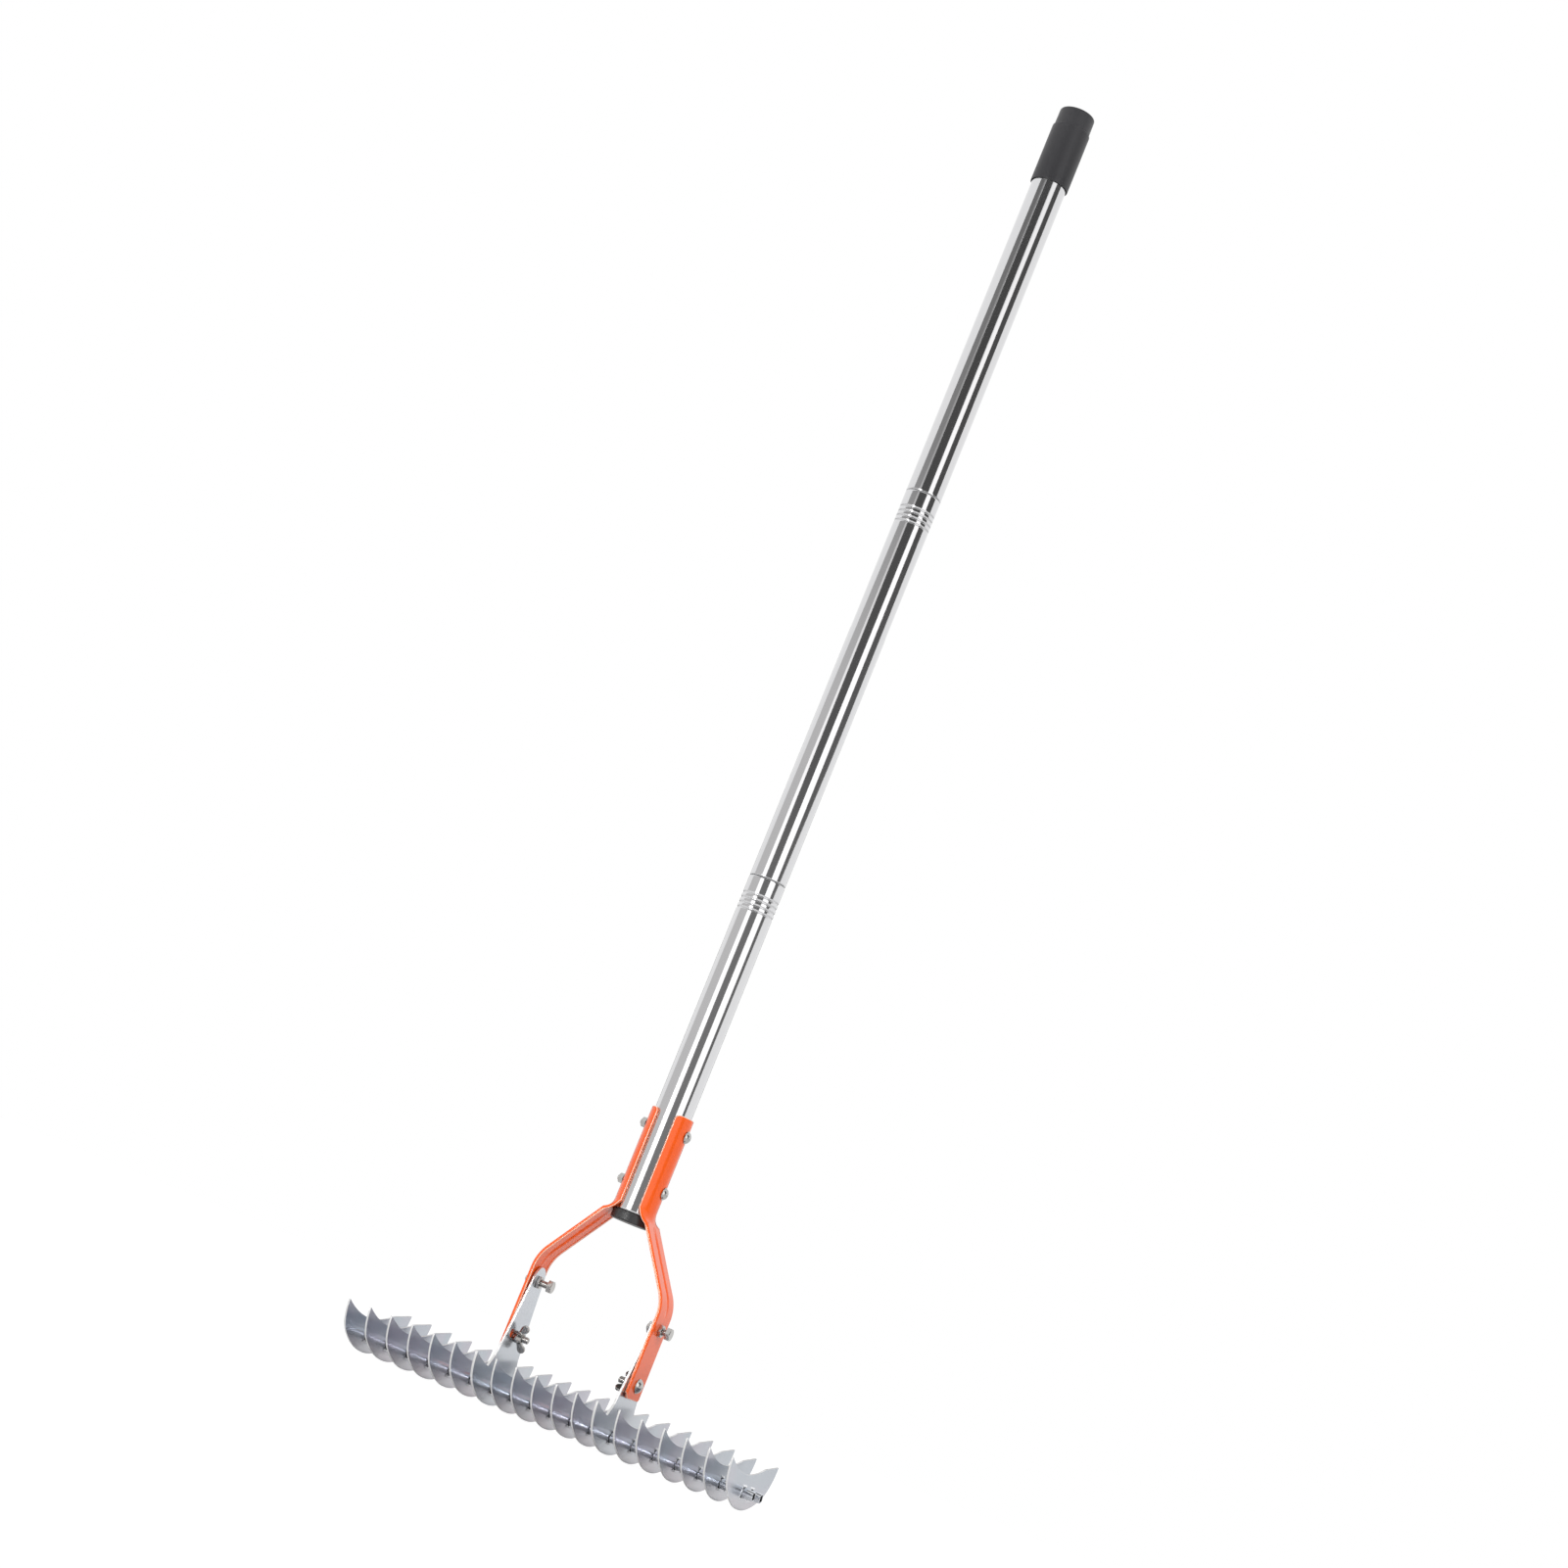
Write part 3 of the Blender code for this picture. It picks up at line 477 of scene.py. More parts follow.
# Blades
# Crescents pressed from 1.5 mm zinc plated sheet. Each tube hole is lanced in an X, and its four
# tabs lean out to grip the tube. The sheared edges are left bright.
blade_sheet = 0.0015
belly_radius = 0.110
belly_half_width = 0.050
throat_height = 0.0286
hollow_radius = 0.150
hollow_low_y = -0.015
heel_corner_y = 0.033
tube_radius = 0.004
tube_height = 0.0143
tube_places = (-0.0065, 0.0165)
lance_length = 0.0035
lance_margin = 0.0006
lance_half_angle = math.radians(8.0)
tab_tilt = math.radians(24.0)
lip_steps = 8
shoulder_steps = 16
belly_steps = 40
hollow_steps = 40
burr_radius = 0.00012
steep_normal_x = 0.75
flat_normal_x = 0.98
inner_pitch = 0.0185
outer_pitch = 0.0201
blades_inside = 5
blades_outside = 6

blade_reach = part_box("blade_09")[1].y
belly_spread = math.asin(belly_half_width / belly_radius)
shoulder_radius = (blade_reach - belly_half_width) / (1 - math.sin(belly_spread))
shoulder_y = blade_reach - shoulder_radius
shoulder_z = belly_radius - (belly_radius - shoulder_radius) * math.cos(belly_spread)
hollow_centre = Vector((hollow_low_y, throat_height + hollow_radius))

zinc = Finish("zinc_plated_sheet", Specular_IOR_Level=0.5)
rolled = zinc.grain(160.0, (1.0, 0.06, 1.0), 4.0)
cloudy = zinc.grain(26.0, (1.0, 1.0, 1.6), 3.0)
height = zinc.node("ShaderNodeSeparateXYZ", {}, {"Vector": zinc.place}, "Z")
# Lower on the faces the zinc turns pinker and a little darker, with height.
belly = 1 - zinc.masked(height + cloudy * 0.006, 0.006, 0.022)
cut = zinc.node("ShaderNodeAttribute", {"attribute_name": "sheared_edge"}, output="Fac")
tone_and_arm_sheen = zinc.node("ShaderNodeAttribute", {"attribute_name": "sheet_tone"}, output="Fac")
face_tone = zinc.mixed(cloudy, (0.51, 0.555, 0.62, 1.0), (0.59, 0.63, 0.68, 1.0))
tint = zinc.masked(zinc.grain(19.0, (1.6, 1.0, 0.7), 2.0), 0.42, 0.60)
face_tone = zinc.mixed(tint * 0.6, face_tone, (0.62, 0.575, 0.65, 1.0))
face_tone = zinc.mixed(belly * 0.6, face_tone, (0.56, 0.52, 0.535, 1.0))
# Each blade leans at random towards the lighter zinc tone; the arm sheets lean nearly all the way, a painted
# sheen.
face_tone = zinc.mixed(tone_and_arm_sheen * 0.2, face_tone, (0.65, 0.68, 0.72, 1.0))
tab = zinc.node("ShaderNodeAttribute", {"attribute_name": "bent_tab"}, output="Fac")
slit_shade = zinc.node("ShaderNodeAttribute", {"attribute_name": "lanced_slit"}, output="Fac")
# The bent tabs are painted near white: a painted highlight where they catch the light.
face_tone = zinc.mixed(tab * 0.8, face_tone, (0.90, 0.91, 0.93, 1.0))
face_tone = zinc.mixed(cut, face_tone, (0.82, 0.82, 0.82, 1.0))
# The walls of the lanced slits are painted near black and less metallic: painted shade in the gaps.
zinc.feed("Base Color", zinc.mixed(slit_shade, face_tone, (0.03, 0.032, 0.034, 1.0)))
zinc.feed("Roughness", 0.17 + rolled * 0.12 + cut * 0.12)
zinc.feed("Metallic", 0.99 - cut * 0.19 - slit_shade * 0.5)
zinc.dent(zinc.grain(420.0, (1.0, 0.05, 1.0), 3.0), 0.00003, 0.25)


def on_circle(centre, radius, angle):
    return (centre[0] + radius * math.cos(angle), centre[1] + radius * math.sin(angle))


def arc(centre, radius, start, end, steps):
    return [on_circle(centre, radius, start + (end - start) * step / steps) for step in range(steps + 1)]


def hollow_angle(y):
    """Where the hollow upper edge stands at y, as an angle round its centre."""
    return -math.acos((y - hollow_low_y) / hollow_radius)


def front_tip_angles():
    """Where the hollow's circle meets the front shoulder's: the angle round each centre."""
    shoulder = Vector((-shoulder_y, shoulder_z))
    apart = shoulder - hollow_centre
    along_line = (hollow_radius**2 - shoulder_radius**2 + apart.length_squared) / (2 * apart.length)
    off_line = math.sqrt(hollow_radius**2 - along_line**2)
    unit = apart.normalized()
    tip = hollow_centre + unit * along_line + Vector((unit.y, -unit.x)) * off_line
    from_hollow = tip - hollow_centre
    from_shoulder = tip - shoulder
    return (math.atan2(from_hollow.y, from_hollow.x),
            math.atan2(from_shoulder.y, from_shoulder.x) % (2 * math.pi))


def sole():
    """The outer edge, from just past the front tip, round the belly, to the rear tip."""
    down = -math.pi / 2
    front, rear = down - belly_spread, down + belly_spread
    points = arc((-shoulder_y, shoulder_z), shoulder_radius, front_tip_angles()[1],
                 2 * math.pi + down - belly_spread, shoulder_steps)[1:]
    points += arc((0, belly_radius), belly_radius, front, rear, belly_steps)[1:]
    return points + arc((shoulder_y, shoulder_z), shoulder_radius, rear, 0, shoulder_steps)[1:]


def hollow(from_y, steps):
    """The hollow upper edge, from y to the front tip."""
    return arc(hollow_centre, hollow_radius, hollow_angle(from_y), front_tip_angles()[0], steps)


def edge_loop(bm, points):
    """A closed outline in the sheet's middle plane: its corners and its edges."""
    verts = [bm.verts.new((0.0, y, z)) for y, z in points]
    return verts, [bm.edges.new((a, b)) for a, b in zip(verts, verts[1:] + verts[:1])]


def lanced_sheet(outline, holes, sheet):
    """One thickness of sheet with its lanced tube holes, whose tabs lean to +X."""
    bm = bmesh.new()
    edges = edge_loop(bm, outline)[1]
    for hole in holes:
        edges += edge_loop(bm, hole)[1]
    lip_radius = tube_radius + fit_gap + sheet / 2 * math.sin(tab_tilt)
    corner_radius = lip_radius + lance_length
    lift = (corner_radius * math.cos(math.pi / 4) - lip_radius) * math.tan(tab_tilt)
    spread = math.pi / 4 - lance_half_angle
    tabs = []
    for tube_y in tube_places:
        centre = (tube_y, tube_height)
        corners, square = edge_loop(bm, arc(centre, corner_radius, math.pi / 4, 7 * math.pi / 4, 3))
        edges += square
        for side in range(4):
            facing = math.pi / 2 * (side + 1)
            lip = arc(centre, lip_radius, facing + spread, facing - spread, lip_steps)
            lip_verts = [bm.verts.new((lift, y, z)) for y, z in lip]
            tabs.append([corners[side], corners[(side + 1) % 4], *lip_verts])
    bmesh.ops.triangle_fill(bm, edges=edges, use_beauty=True, use_dissolve=False)
    for tab in tabs:
        bm.faces.new(tab)
    bmesh.ops.recalc_face_normals(bm, faces=bm.faces)
    return bm


def settled(obj):
    """Gives an object the mesh that its modifiers make, and takes them off."""
    mesh = bpy.data.meshes.new_from_object(obj.evaluated_get(bpy.context.evaluated_depsgraph_get()))
    obj.modifiers.clear()
    obj.data = mesh
    return mesh


def sheared(name, bm, sheet):
    """Gives a flat sheet its thickness and softened edges, and marks what the press cut and bent."""
    obj = piece(name, bm, zinc)
    thickened(obj, sheet, 0.0)
    rounded(obj, "burr", burr_radius, segments=1, limit_deg=40)
    plain = settled(obj)
    # The tab mark carries a painted highlight, and the slit mark painted shade.
    labels = ("sheared_edge", "bent_tab", "lanced_slit")
    marks = [plain.attributes.new(label, "FLOAT", "FACE") for label in labels]
    tab_reach = tube_radius + lance_length + lance_margin
    for face in plain.polygons:
        rise = face.center.z - tube_height
        reach = min(math.hypot(face.center.y - tube_y, rise) for tube_y in tube_places)
        steep = abs(face.normal.x) < steep_normal_x
        tilted = steep_normal_x <= abs(face.normal.x) < flat_normal_x
        lanced = reach < tab_reach
        for mark, found in zip(marks, (steep and not lanced, tilted and lanced, steep and lanced)):
            mark.data[face.index].value = 1.0 if found else 0.0
    return obj


class Form(Board):
    """A Geometry Nodes group that builds a form from inputs given as (label, kind)."""

    def __init__(self, name, *inputs):
        super().__init__(bpy.data.node_groups.new(name, "GeometryNodeTree"))
        sockets = self.tree.interface
        sockets.new_socket("Geometry", in_out="OUTPUT", socket_type="NodeSocketGeometry")
        self.inputs = {}
        for label, kind in inputs:
            socket = sockets.new_socket(label, in_out="INPUT", socket_type=f"NodeSocket{kind}")
            self.inputs[label] = socket.identifier
        given = self.tree.nodes.new("NodeGroupInput")
        self.size = {label: Value(self, given.outputs[label]) for label in self.inputs}

    def close(self, geometry, material):
        """Turns the repeats into one mesh, gives it its material and puts it out."""
        geometry = self.node("GeometryNodeRealizeInstances", {}, {"Geometry": geometry})
        geometry = self.node("GeometryNodeSetMaterial", {}, {"Geometry": geometry, "Material": material})
        exit_node = self.tree.nodes.new("NodeGroupOutput")
        self.tree.links.new(geometry.socket, exit_node.inputs["Geometry"])

    def build(self, obj, settings):
        """Runs the group on an object with these settings of its inputs, and keeps the mesh."""
        run = obj.modifiers.new("form", "NODES")
        run.node_group = self.tree
        for label, setting in settings.items():
            run[self.inputs[label]] = setting
        return settled(obj)


blade_outline = sole() + hollow(heel_corner_y, hollow_steps)
blade_pattern = sheared("blade_pattern", lanced_sheet(blade_outline, [], blade_sheet), blade_sheet)

row = Form("blade_row", ("Geometry", "Geometry"), ("Blade", "Object"), ("Blades inside the arms", "Int"),
           ("Blades outside each arm", "Int"), ("Inner pitch", "Float"), ("Outer pitch", "Float"),
           ("Sheet", "Material"))
size = row.size
arm_place = (size["Blades inside the arms"] + 1) * 0.5
count = size["Blades inside the arms"] + size["Blades outside each arm"] * 2 + 2
index = row.node("GeometryNodeInputIndex")
place = index - (count - 1) * 0.5
inside = place.maths("MINIMUM", abs(place), arm_place)
distance = inside * size["Inner pitch"] + (abs(place) - inside) * size["Outer pitch"]
at = row.node("ShaderNodeCombineXYZ", {}, {"X": distance * place.maths("SIGN", place)})
points = row.node("GeometryNodePoints", {}, {"Count": count, "Position": at})
plain_blade = place.maths("GREATER_THAN", abs(abs(place) - arm_place), 0.5)
shape = row.node("GeometryNodeObjectInfo", {}, {"Object": size["Blade"]}, "Geometry")
blades = row.node("GeometryNodeInstanceOnPoints", {},
                  {"Points": points, "Selection": plain_blade, "Instance": shape})
shade = row.node("FunctionNodeRandomValue", {"data_type": "FLOAT"}, {"Seed": 7}, "Value_001")
blades = row.node("GeometryNodeStoreNamedAttribute", {"data_type": "FLOAT", "domain": "INSTANCE"},
                  {"Geometry": blades, "Name": "sheet_tone", "Value": shade})
row.close(blades, size["Sheet"])

blade_row = bpy.data.objects.new("blade_row", bpy.data.meshes.new("blade_row"))
bpy.context.scene.collection.objects.link(blade_row)
row.build(blade_row, {"Blade": blade_pattern, "Blades inside the arms": blades_inside,
                      "Blades outside each arm": blades_outside, "Inner pitch": inner_pitch,
                      "Outer pitch": outer_pitch, "Sheet": zinc.material})
bpy.data.objects.remove(blade_pattern)
fitted(blade_row, "head", "blade_sheet", *[f"blade_{number:02d}" for number in range(1, 18)])

# Arm blades
# Two of the blades are of 2 mm sheet, and their middles rise as tapered arms. A round eye takes the
# pivot bolt, and the clamp bolt runs in a curved slot below it.
arm_sheet = 0.002
pivot_height = 0.1075
clamp_drop = 0.0477
tilt_limit = math.radians(15.0)
slot_clearance = 0.00045
eye_radius = 0.0125
arm_base_half_width = 0.027
arm_base_height = 0.040
arm_waist_sag = 0.0013
arm_front_foot_y = -0.034
arm_rear_foot_y = 0.0295
waist_steps = 14
eye_steps = 32
front_foot_steps = 16
slot_steps = 18
slot_end_steps = 12
pivot_hole_steps = 28
bolt_radius = 0.003
arm_painted_sheen = 4.5


def bowed(start, end, sag, steps):
    """Points on a shallow arc, bowed to the left of the way from start to end."""
    run = Vector(end) - Vector(start)
    normal = Vector((-run.y, run.x)).normalized()
    return [tuple(Vector(start) + run * step / steps + normal * sag * 4 * step / steps * (1 - step / steps))
            for step in range(steps + 1)]


def arm_outline():
    """The sole of a blade, then up the rear of the arm, round its eye and down to the front tip."""
    flare = math.atan2(arm_base_half_width - eye_radius, pivot_height - arm_base_height)
    eye = arc((0, pivot_height), eye_radius, flare, math.pi - flare, eye_steps)
    heel = on_circle(hollow_centre, hollow_radius, hollow_angle(heel_corner_y))
    rise = (shoulder_z - heel[1]) / (blade_reach - heel_corner_y)
    points = sole()
    points.append((arm_rear_foot_y, heel[1] + rise * (arm_rear_foot_y - heel_corner_y)))
    points += bowed((arm_base_half_width, arm_base_height), eye[0], arm_waist_sag, waist_steps)[:-1]
    points += eye
    points += bowed(eye[-1], (-arm_base_half_width, arm_base_height), arm_waist_sag, waist_steps)[1:]
    return points + hollow(arm_front_foot_y, front_foot_steps)


def clamp_slot():
    """A slot with round ends, curved about the pivot, that lets the head tilt to its limits."""
    half_width = bolt_radius + slot_clearance
    half_angle = tilt_limit + fit_gap / clamp_drop
    first, last = -math.pi / 2 - half_angle, -math.pi / 2 + half_angle
    pivot = (0, pivot_height)
    rear_end = on_circle(pivot, clamp_drop, last)
    front_end = on_circle(pivot, clamp_drop, first)
    points = arc(pivot, clamp_drop + half_width, first, last, slot_steps)
    points += arc(rear_end, half_width, last, last + math.pi, slot_end_steps)[1:]
    points += arc(pivot, clamp_drop - half_width, last, first, slot_steps)[1:]
    return points + arc(front_end, half_width, first + math.pi, first + 2 * math.pi, slot_end_steps)[1:-1]


pivot_hole = arc((0, pivot_height), bolt_radius + fit_gap, 0, 2 * math.pi, pivot_hole_steps)[:-1]
for name, side, node in (("left_arm", -1, "left_arm_blade"), ("right_arm", 1, "right_arm_blade")):
    arm = sheared(name, lanced_sheet(arm_outline(), [pivot_hole, clamp_slot()], arm_sheet), arm_sheet)
    arm.data.transform(Matrix.Translation((side * (blades_inside + 1) / 2 * inner_pitch, 0, 0)))
    # The arm sheets get a mark far past the blades' random range, so they take the lighter zinc tone: a
    # painted sheen for the bright studio they reflect.
    arm_sheen_mark = arm.data.attributes.new("sheet_tone", "FLOAT", "FACE")
    for face in arm.data.polygons:
        arm_sheen_mark.data[face.index].value = arm_painted_sheen
    fitted(arm, "head", "blade_sheet", node)

# Cross tubes
# Two lengths of bright drawn 8 mm tube run through every blade, cut square and left open.
tube_bore = 0.0033
tube_edge = 0.0003
tube_facets = 56
bright_drawn = Finish("bright_drawn_tube")
streaks = bright_drawn.grain(300.0, (0.01, 1.0, 1.0), 4.0)
# The bore is painted near black, matt and not metallic: painted shade inside the tube.
bore_shade = bright_drawn.node("ShaderNodeAttribute", {"attribute_name": "bore"}, output="Fac")
drawn_tone = bright_drawn.mixed(streaks, (0.74, 0.77, 0.83, 1.0), (0.86, 0.88, 0.92, 1.0))
bright_drawn.feed("Base Color", bright_drawn.mixed(bore_shade, drawn_tone, (0.02, 0.02, 0.022, 1.0)))
bright_drawn.feed("Roughness", 0.06 + streaks * 0.08 + bore_shade * 0.6)
bright_drawn.feed("Metallic", 1 - bore_shade)
bright_drawn.dent(bright_drawn.grain(900.0, (0.01, 1.0, 1.0)), 0.00002, 0.2)
for name, node in (("front_drawn_tube", "front_cross_tube"), ("rear_drawn_tube", "rear_cross_tube")):
    low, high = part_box(node)
    wall = [(tube_bore, low.x + tube_edge), (tube_bore + tube_edge, low.x), (tube_radius - tube_edge, low.x),
            (tube_radius, low.x + tube_edge), (tube_radius, high.x - tube_edge),
            (tube_radius - tube_edge, high.x), (tube_bore + tube_edge, high.x),
            (tube_bore, high.x - tube_edge)]
    centre = (low + high) / 2
    tube = piece(name, turned(wall, tube_facets, "X"), bright_drawn, smooth_deg=40,
                 matrix=Matrix.Translation((0, centre.y, centre.z)))
    # Marks the faces inside the bore, which carry the painted shade.
    mark = tube.data.attributes.new("bore", "FLOAT", "FACE")
    for face in tube.data.polygons:
        reach = Vector(face.center) - centre
        mark.data[face.index].value = 1.0 if math.hypot(reach.y, reach.z) < tube_bore else 0.0
    fitted(tube, "head", "cross_tube", node)

# Bolts and nuts
# Bright plated M6 fasteners with 10 mm hexagons and domed heads, and M5 ones through the pole. Their
# threads are rolled, and the ridge of each is wound round the shank.
thread_pitch = 0.001
thread_rise = 0.0004
across_flats = 0.010
hexagon_chamfer = 0.0009
turned_off_share = 0.94
hex_head_height = 0.004
clamp_head_radius = 0.0064
clamp_head_height = 0.0042
pole_bolt_radius = 0.0025
pole_bolt_head_radius = 0.0054
pole_bolt_head_height = 0.0036
pole_thread_length = 0.014
pole_nut_flats = 0.008
shank_relief = 0.0002
point_length = 0.0006
point_depth = 0.0005
nut_clearance = 0.0002
nut_mouth = 0.0003
fastener_facets = 72
chamfer_steps = 8
dome_steps = 12
bright_plate = Finish("bright_plated_steel", Metallic=1.0)
plating = bright_plate.grain(120.0, detail=4.0)
bright_plate.feed("Base Color", bright_plate.mixed(plating, (0.43, 0.415, 0.40, 1.0),
                                                   (0.58, 0.57, 0.55, 1.0)))
bright_plate.feed("Roughness", 0.08 + plating * 0.12)
bright_plate.dent(bright_plate.grain(700.0), 0.00004, 0.3)

winding = Form("wound_thread", ("Geometry", "Geometry"), ("Start", "Float"), ("Length", "Float"),
               ("Pitch", "Float"), ("Root radius", "Float"), ("Ridge", "Float"), ("Metal", "Material"))
size = winding.size
turns = size["Length"].maths("DIVIDE", size["Length"], size["Pitch"])
helix = winding.node("GeometryNodeCurveSpiral", {},
                     {"Resolution": 28, "Rotations": turns, "Start Radius": size["Root radius"],
                      "End Radius": size["Root radius"], "Height": size["Length"]})
helix = winding.node("GeometryNodeSetCurveNormal", {"mode": "Z_UP"}, {"Curve": helix})
ridge = winding.node("GeometryNodeCurvePrimitiveCircle", {"mode": "RADIUS"},
                     {"Resolution": 4, "Radius": size["Ridge"]})
thread = winding.node("GeometryNodeCurveToMesh", {},
                      {"Curve": helix, "Profile Curve": ridge, "Fill Caps": True})
start = winding.node("ShaderNodeCombineXYZ", {}, {"X": size["Start"]})
thread = winding.node("GeometryNodeTransform", {},
                      {"Geometry": thread, "Translation": start, "Rotation": (0.0, math.pi / 2, 0.0)})
whole = winding.node("GeometryNodeJoinGeometry", {}, {"Geometry": [size["Geometry"], thread]})
winding.close(whole, size["Metal"])


def threaded(name, bm, start, length, matrix, radius=bolt_radius):
    """Winds a thread round a bolt that lies along X, then puts the bolt in place."""
    bolt = piece(name, bm, bright_plate, smooth_deg=35)
    wound = winding.build(bolt, {"Start": start, "Length": length, "Pitch": thread_pitch,
                                 "Root radius": radius - thread_rise, "Ridge": thread_rise,
                                 "Metal": bright_plate.material})
    wound.transform(matrix)
    return bolt


def rings_along(rings):
    """Skins rings along X. Each is (distance, radius), where a radius may be a function of the angle."""
    bm = bmesh.new()
    loops = []
    for distance, radius in rings:
        if radius == 0:
            loops.append([bm.verts.new((distance, 0, 0))] * fastener_facets)
            continue
        loop = []
        for step in range(fastener_facets):
            around = 2 * math.pi * step / fastener_facets
            across = radius(around) if callable(radius) else radius
            loop.append(bm.verts.new((distance, across * math.cos(around), across * math.sin(around))))
        loops.append(loop)
    pairs = list(zip(loops, loops[1:]))
    if rings[0][1] != 0:
        pairs.append((loops[-1], loops[0]))
    for first, second in pairs:
        for step in range(fastener_facets):
            following = (step + 1) % fastener_facets
            corners = [first[step], first[following], second[following], second[step]]
            bm.faces.new(list(dict.fromkeys(corners)))
    bmesh.ops.recalc_face_normals(bm, faces=bm.faces)
    return bm


def chamfered(limit, flats):
    """The edge of a hexagon whose corners are turned off at a radius."""
    def edge(around):
        from_corner = around % (math.pi / 3)
        return min(limit, flats / 2 / math.cos(from_corner - math.pi / 6))
    return edge


def hexagon(thickness, flats=across_flats):
    """Rings of a hexagon from its seat to its turned-off end."""
    corner = flats / 2 / math.cos(math.pi / 6)
    rings = [(0, chamfered(corner, flats))]
    for step in range(chamfer_steps + 1):
        share = step / chamfer_steps
        limit = corner - (corner - turned_off_share * flats / 2) * share
        rings.append((thickness - hexagon_chamfer * (1 - share), chamfered(limit, flats)))
    return rings


def shank(end, radius=bolt_radius):
    """Rings of a shank with a turned-off point, from the seat to its end at -X."""
    root = radius - thread_rise
    return [(0, radius), (-shank_relief, root), (-end + point_length, root), (-end, root - point_depth),
            (-end, 0)]


def hex_nut(thickness, flats=across_flats, radius=bolt_radius):
    """A hexagon with a bore whose two mouths are turned out."""
    bore = radius + nut_clearance
    rings = hexagon(thickness, flats)
    return rings_along([(nut_mouth, bore), (0, bore + nut_mouth), *rings, (thickness, bore + nut_mouth),
                        (thickness - nut_mouth, bore)])


def dome(height, radius):
    """Rings of a domed head from its crown down to its seat."""
    cap_radius = (radius**2 + height**2) / (2 * height)
    spread = math.asin(radius / cap_radius)
    rings = [(height, 0)]
    for step in range(1, dome_steps + 1):
        turn = spread * step / dome_steps
        rings.append((height - cap_radius * (1 - math.cos(turn)), cap_radius * math.sin(turn)))
    return rings


def facing(side, x, z):
    """Puts a piece built towards +X at (x, z), looking to the side given."""
    turn = Matrix.Rotation(math.pi, 4, "Z") if side < 0 else Matrix.Identity(4)
    return Matrix.Translation((x, 0, z)) @ turn


for level in ("upper", "lower"):
    low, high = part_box(f"{level}_pole_bolt")
    z = (low.z + high.z) / 2
    seat = high.x - pole_bolt_head_height
    rings = dome(pole_bolt_head_height, pole_bolt_head_radius) + shank(seat - low.x, pole_bolt_radius)
    bolt = threaded(f"{level}_dome_bolt", rings_along(rings), low.x - seat + point_length, pole_thread_length,
                    facing(1, seat, z), pole_bolt_radius)
    fitted(bolt, "root", "fastener", f"{level}_pole_bolt")
    low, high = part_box(f"{level}_pole_nut")
    nut = piece(f"{level}_hex_nut", hex_nut(high.x - low.x, pole_nut_flats, pole_bolt_radius), bright_plate,
                smooth_deg=35, matrix=facing(-1, high.x, z))
    fitted(nut, "root", "fastener", f"{level}_pole_nut")

for side_name, side in (("left", -1), ("right", 1)):
    low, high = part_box(f"{side_name}_pivot_bolt")
    seat = high.x - hex_head_height
    rings = [(hex_head_height, 0), *reversed(hexagon(hex_head_height)), *shank(seat - low.x)]
    bolt = threaded(f"{side_name}_hex_bolt", rings_along(rings), low.x - seat + point_length,
                    seat - low.x - 2 * point_length, facing(1, seat, pivot_height))
    fitted(bolt, "root", "fastener", f"{side_name}_pivot_bolt")
    for kind, outward in (("locknut", 1), ("nut", -1)):
        node = f"{side_name}_pivot_{kind}"
        low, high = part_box(node)
        seat = low.x if outward > 0 else high.x
        nut = piece(f"{side_name}_hex_{kind}", hex_nut(high.x - low.x), bright_plate,
                    smooth_deg=35, matrix=facing(outward, seat, pivot_height))
        fitted(nut, "root", "fastener", node)

    low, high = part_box(f"{side_name}_clamp_bolt")
    seat = (high.x if side > 0 else -low.x) - clamp_head_height
    tip = low.x if side > 0 else -high.x
    rings = dome(clamp_head_height, clamp_head_radius) + shank(seat - tip)
    bolt = threaded(f"{side_name}_clamp_dome_bolt", rings_along(rings), tip - seat + point_length,
                    seat - tip - 2 * point_length, facing(side, side * seat, pivot_height - clamp_drop))
    fitted(bolt, "root", "fastener", f"{side_name}_clamp_bolt")

# Wing nuts
# Cast in one piece, with two ears on a tapered hub, tapped for the clamp bolt and bright plated.
# The CAD casting is taken over, and its edges and roots are rounded as a casting's are.
cast_merge_distance = 1e-6
cast_skin_grid = 0.00025
cast_rounding_passes = 7
for side_name in ("left", "right"):
    node = f"{side_name}_wing_nut"
    bm = bmesh.new()
    bm.from_mesh(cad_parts[node].data)
    bmesh.ops.remove_doubles(bm, verts=bm.verts, dist=cast_merge_distance)
    cast = piece(f"{side_name}_cast_wing_nut", bm, bright_plate)
    skin = cast.modifiers.new("skin", "REMESH")
    skin.mode = "VOXEL"
    skin.voxel_size = cast_skin_grid
    skin.use_smooth_shade = True
    soft = cast.modifiers.new("soft", "SMOOTH")
    soft.iterations = cast_rounding_passes
    soft.factor = 0.5
    plain = settled(cast)
    plain.materials.clear()
    plain.materials.append(bright_plate.material)
    plain.shade_smooth()
    fitted(cast, node, "fastener", node)

# Studio
# A white floor and air, tall pale and dark screens that only show in polished metal, and three soft
# lamps. The camera stands low beside the blades and looks up the pole, which leans right.
air_light = 0.62
floor_radius = 14.0
floor_height = -0.0004
floor_glow = 1.12
floor_glow_share = 0.85
screen_steps = 12
photo_pixels = 1601
focal_pixels = 3112.22
sensor_width = 36.0
scene = bpy.context.scene
scene.view_settings.view_transform = "Standard"


def rays(board, *labels):
    """1 for rays of the kinds named, and 0 for the rest."""
    path = board.tree.nodes.new("ShaderNodeLightPath")
    found = [Value(board, path.outputs[label]) for label in labels]
    return functools.reduce(lambda first, second: first.maths("MAXIMUM", first, second), found)


scene.world = bpy.data.worlds.new("studio_air")
scene.world.use_nodes = True
air = Board(scene.world.node_tree)
background = scene.world.node_tree.nodes["Background"]
background.inputs["Color"].default_value = (1.0, 1.0, 1.0, 1.0)
seen = rays(air, "Is Camera Ray", "Is Glossy Ray", "Is Transmission Ray")
air.tree.links.new((air_light + seen * (1 - air_light)).socket, background.inputs["Strength"])

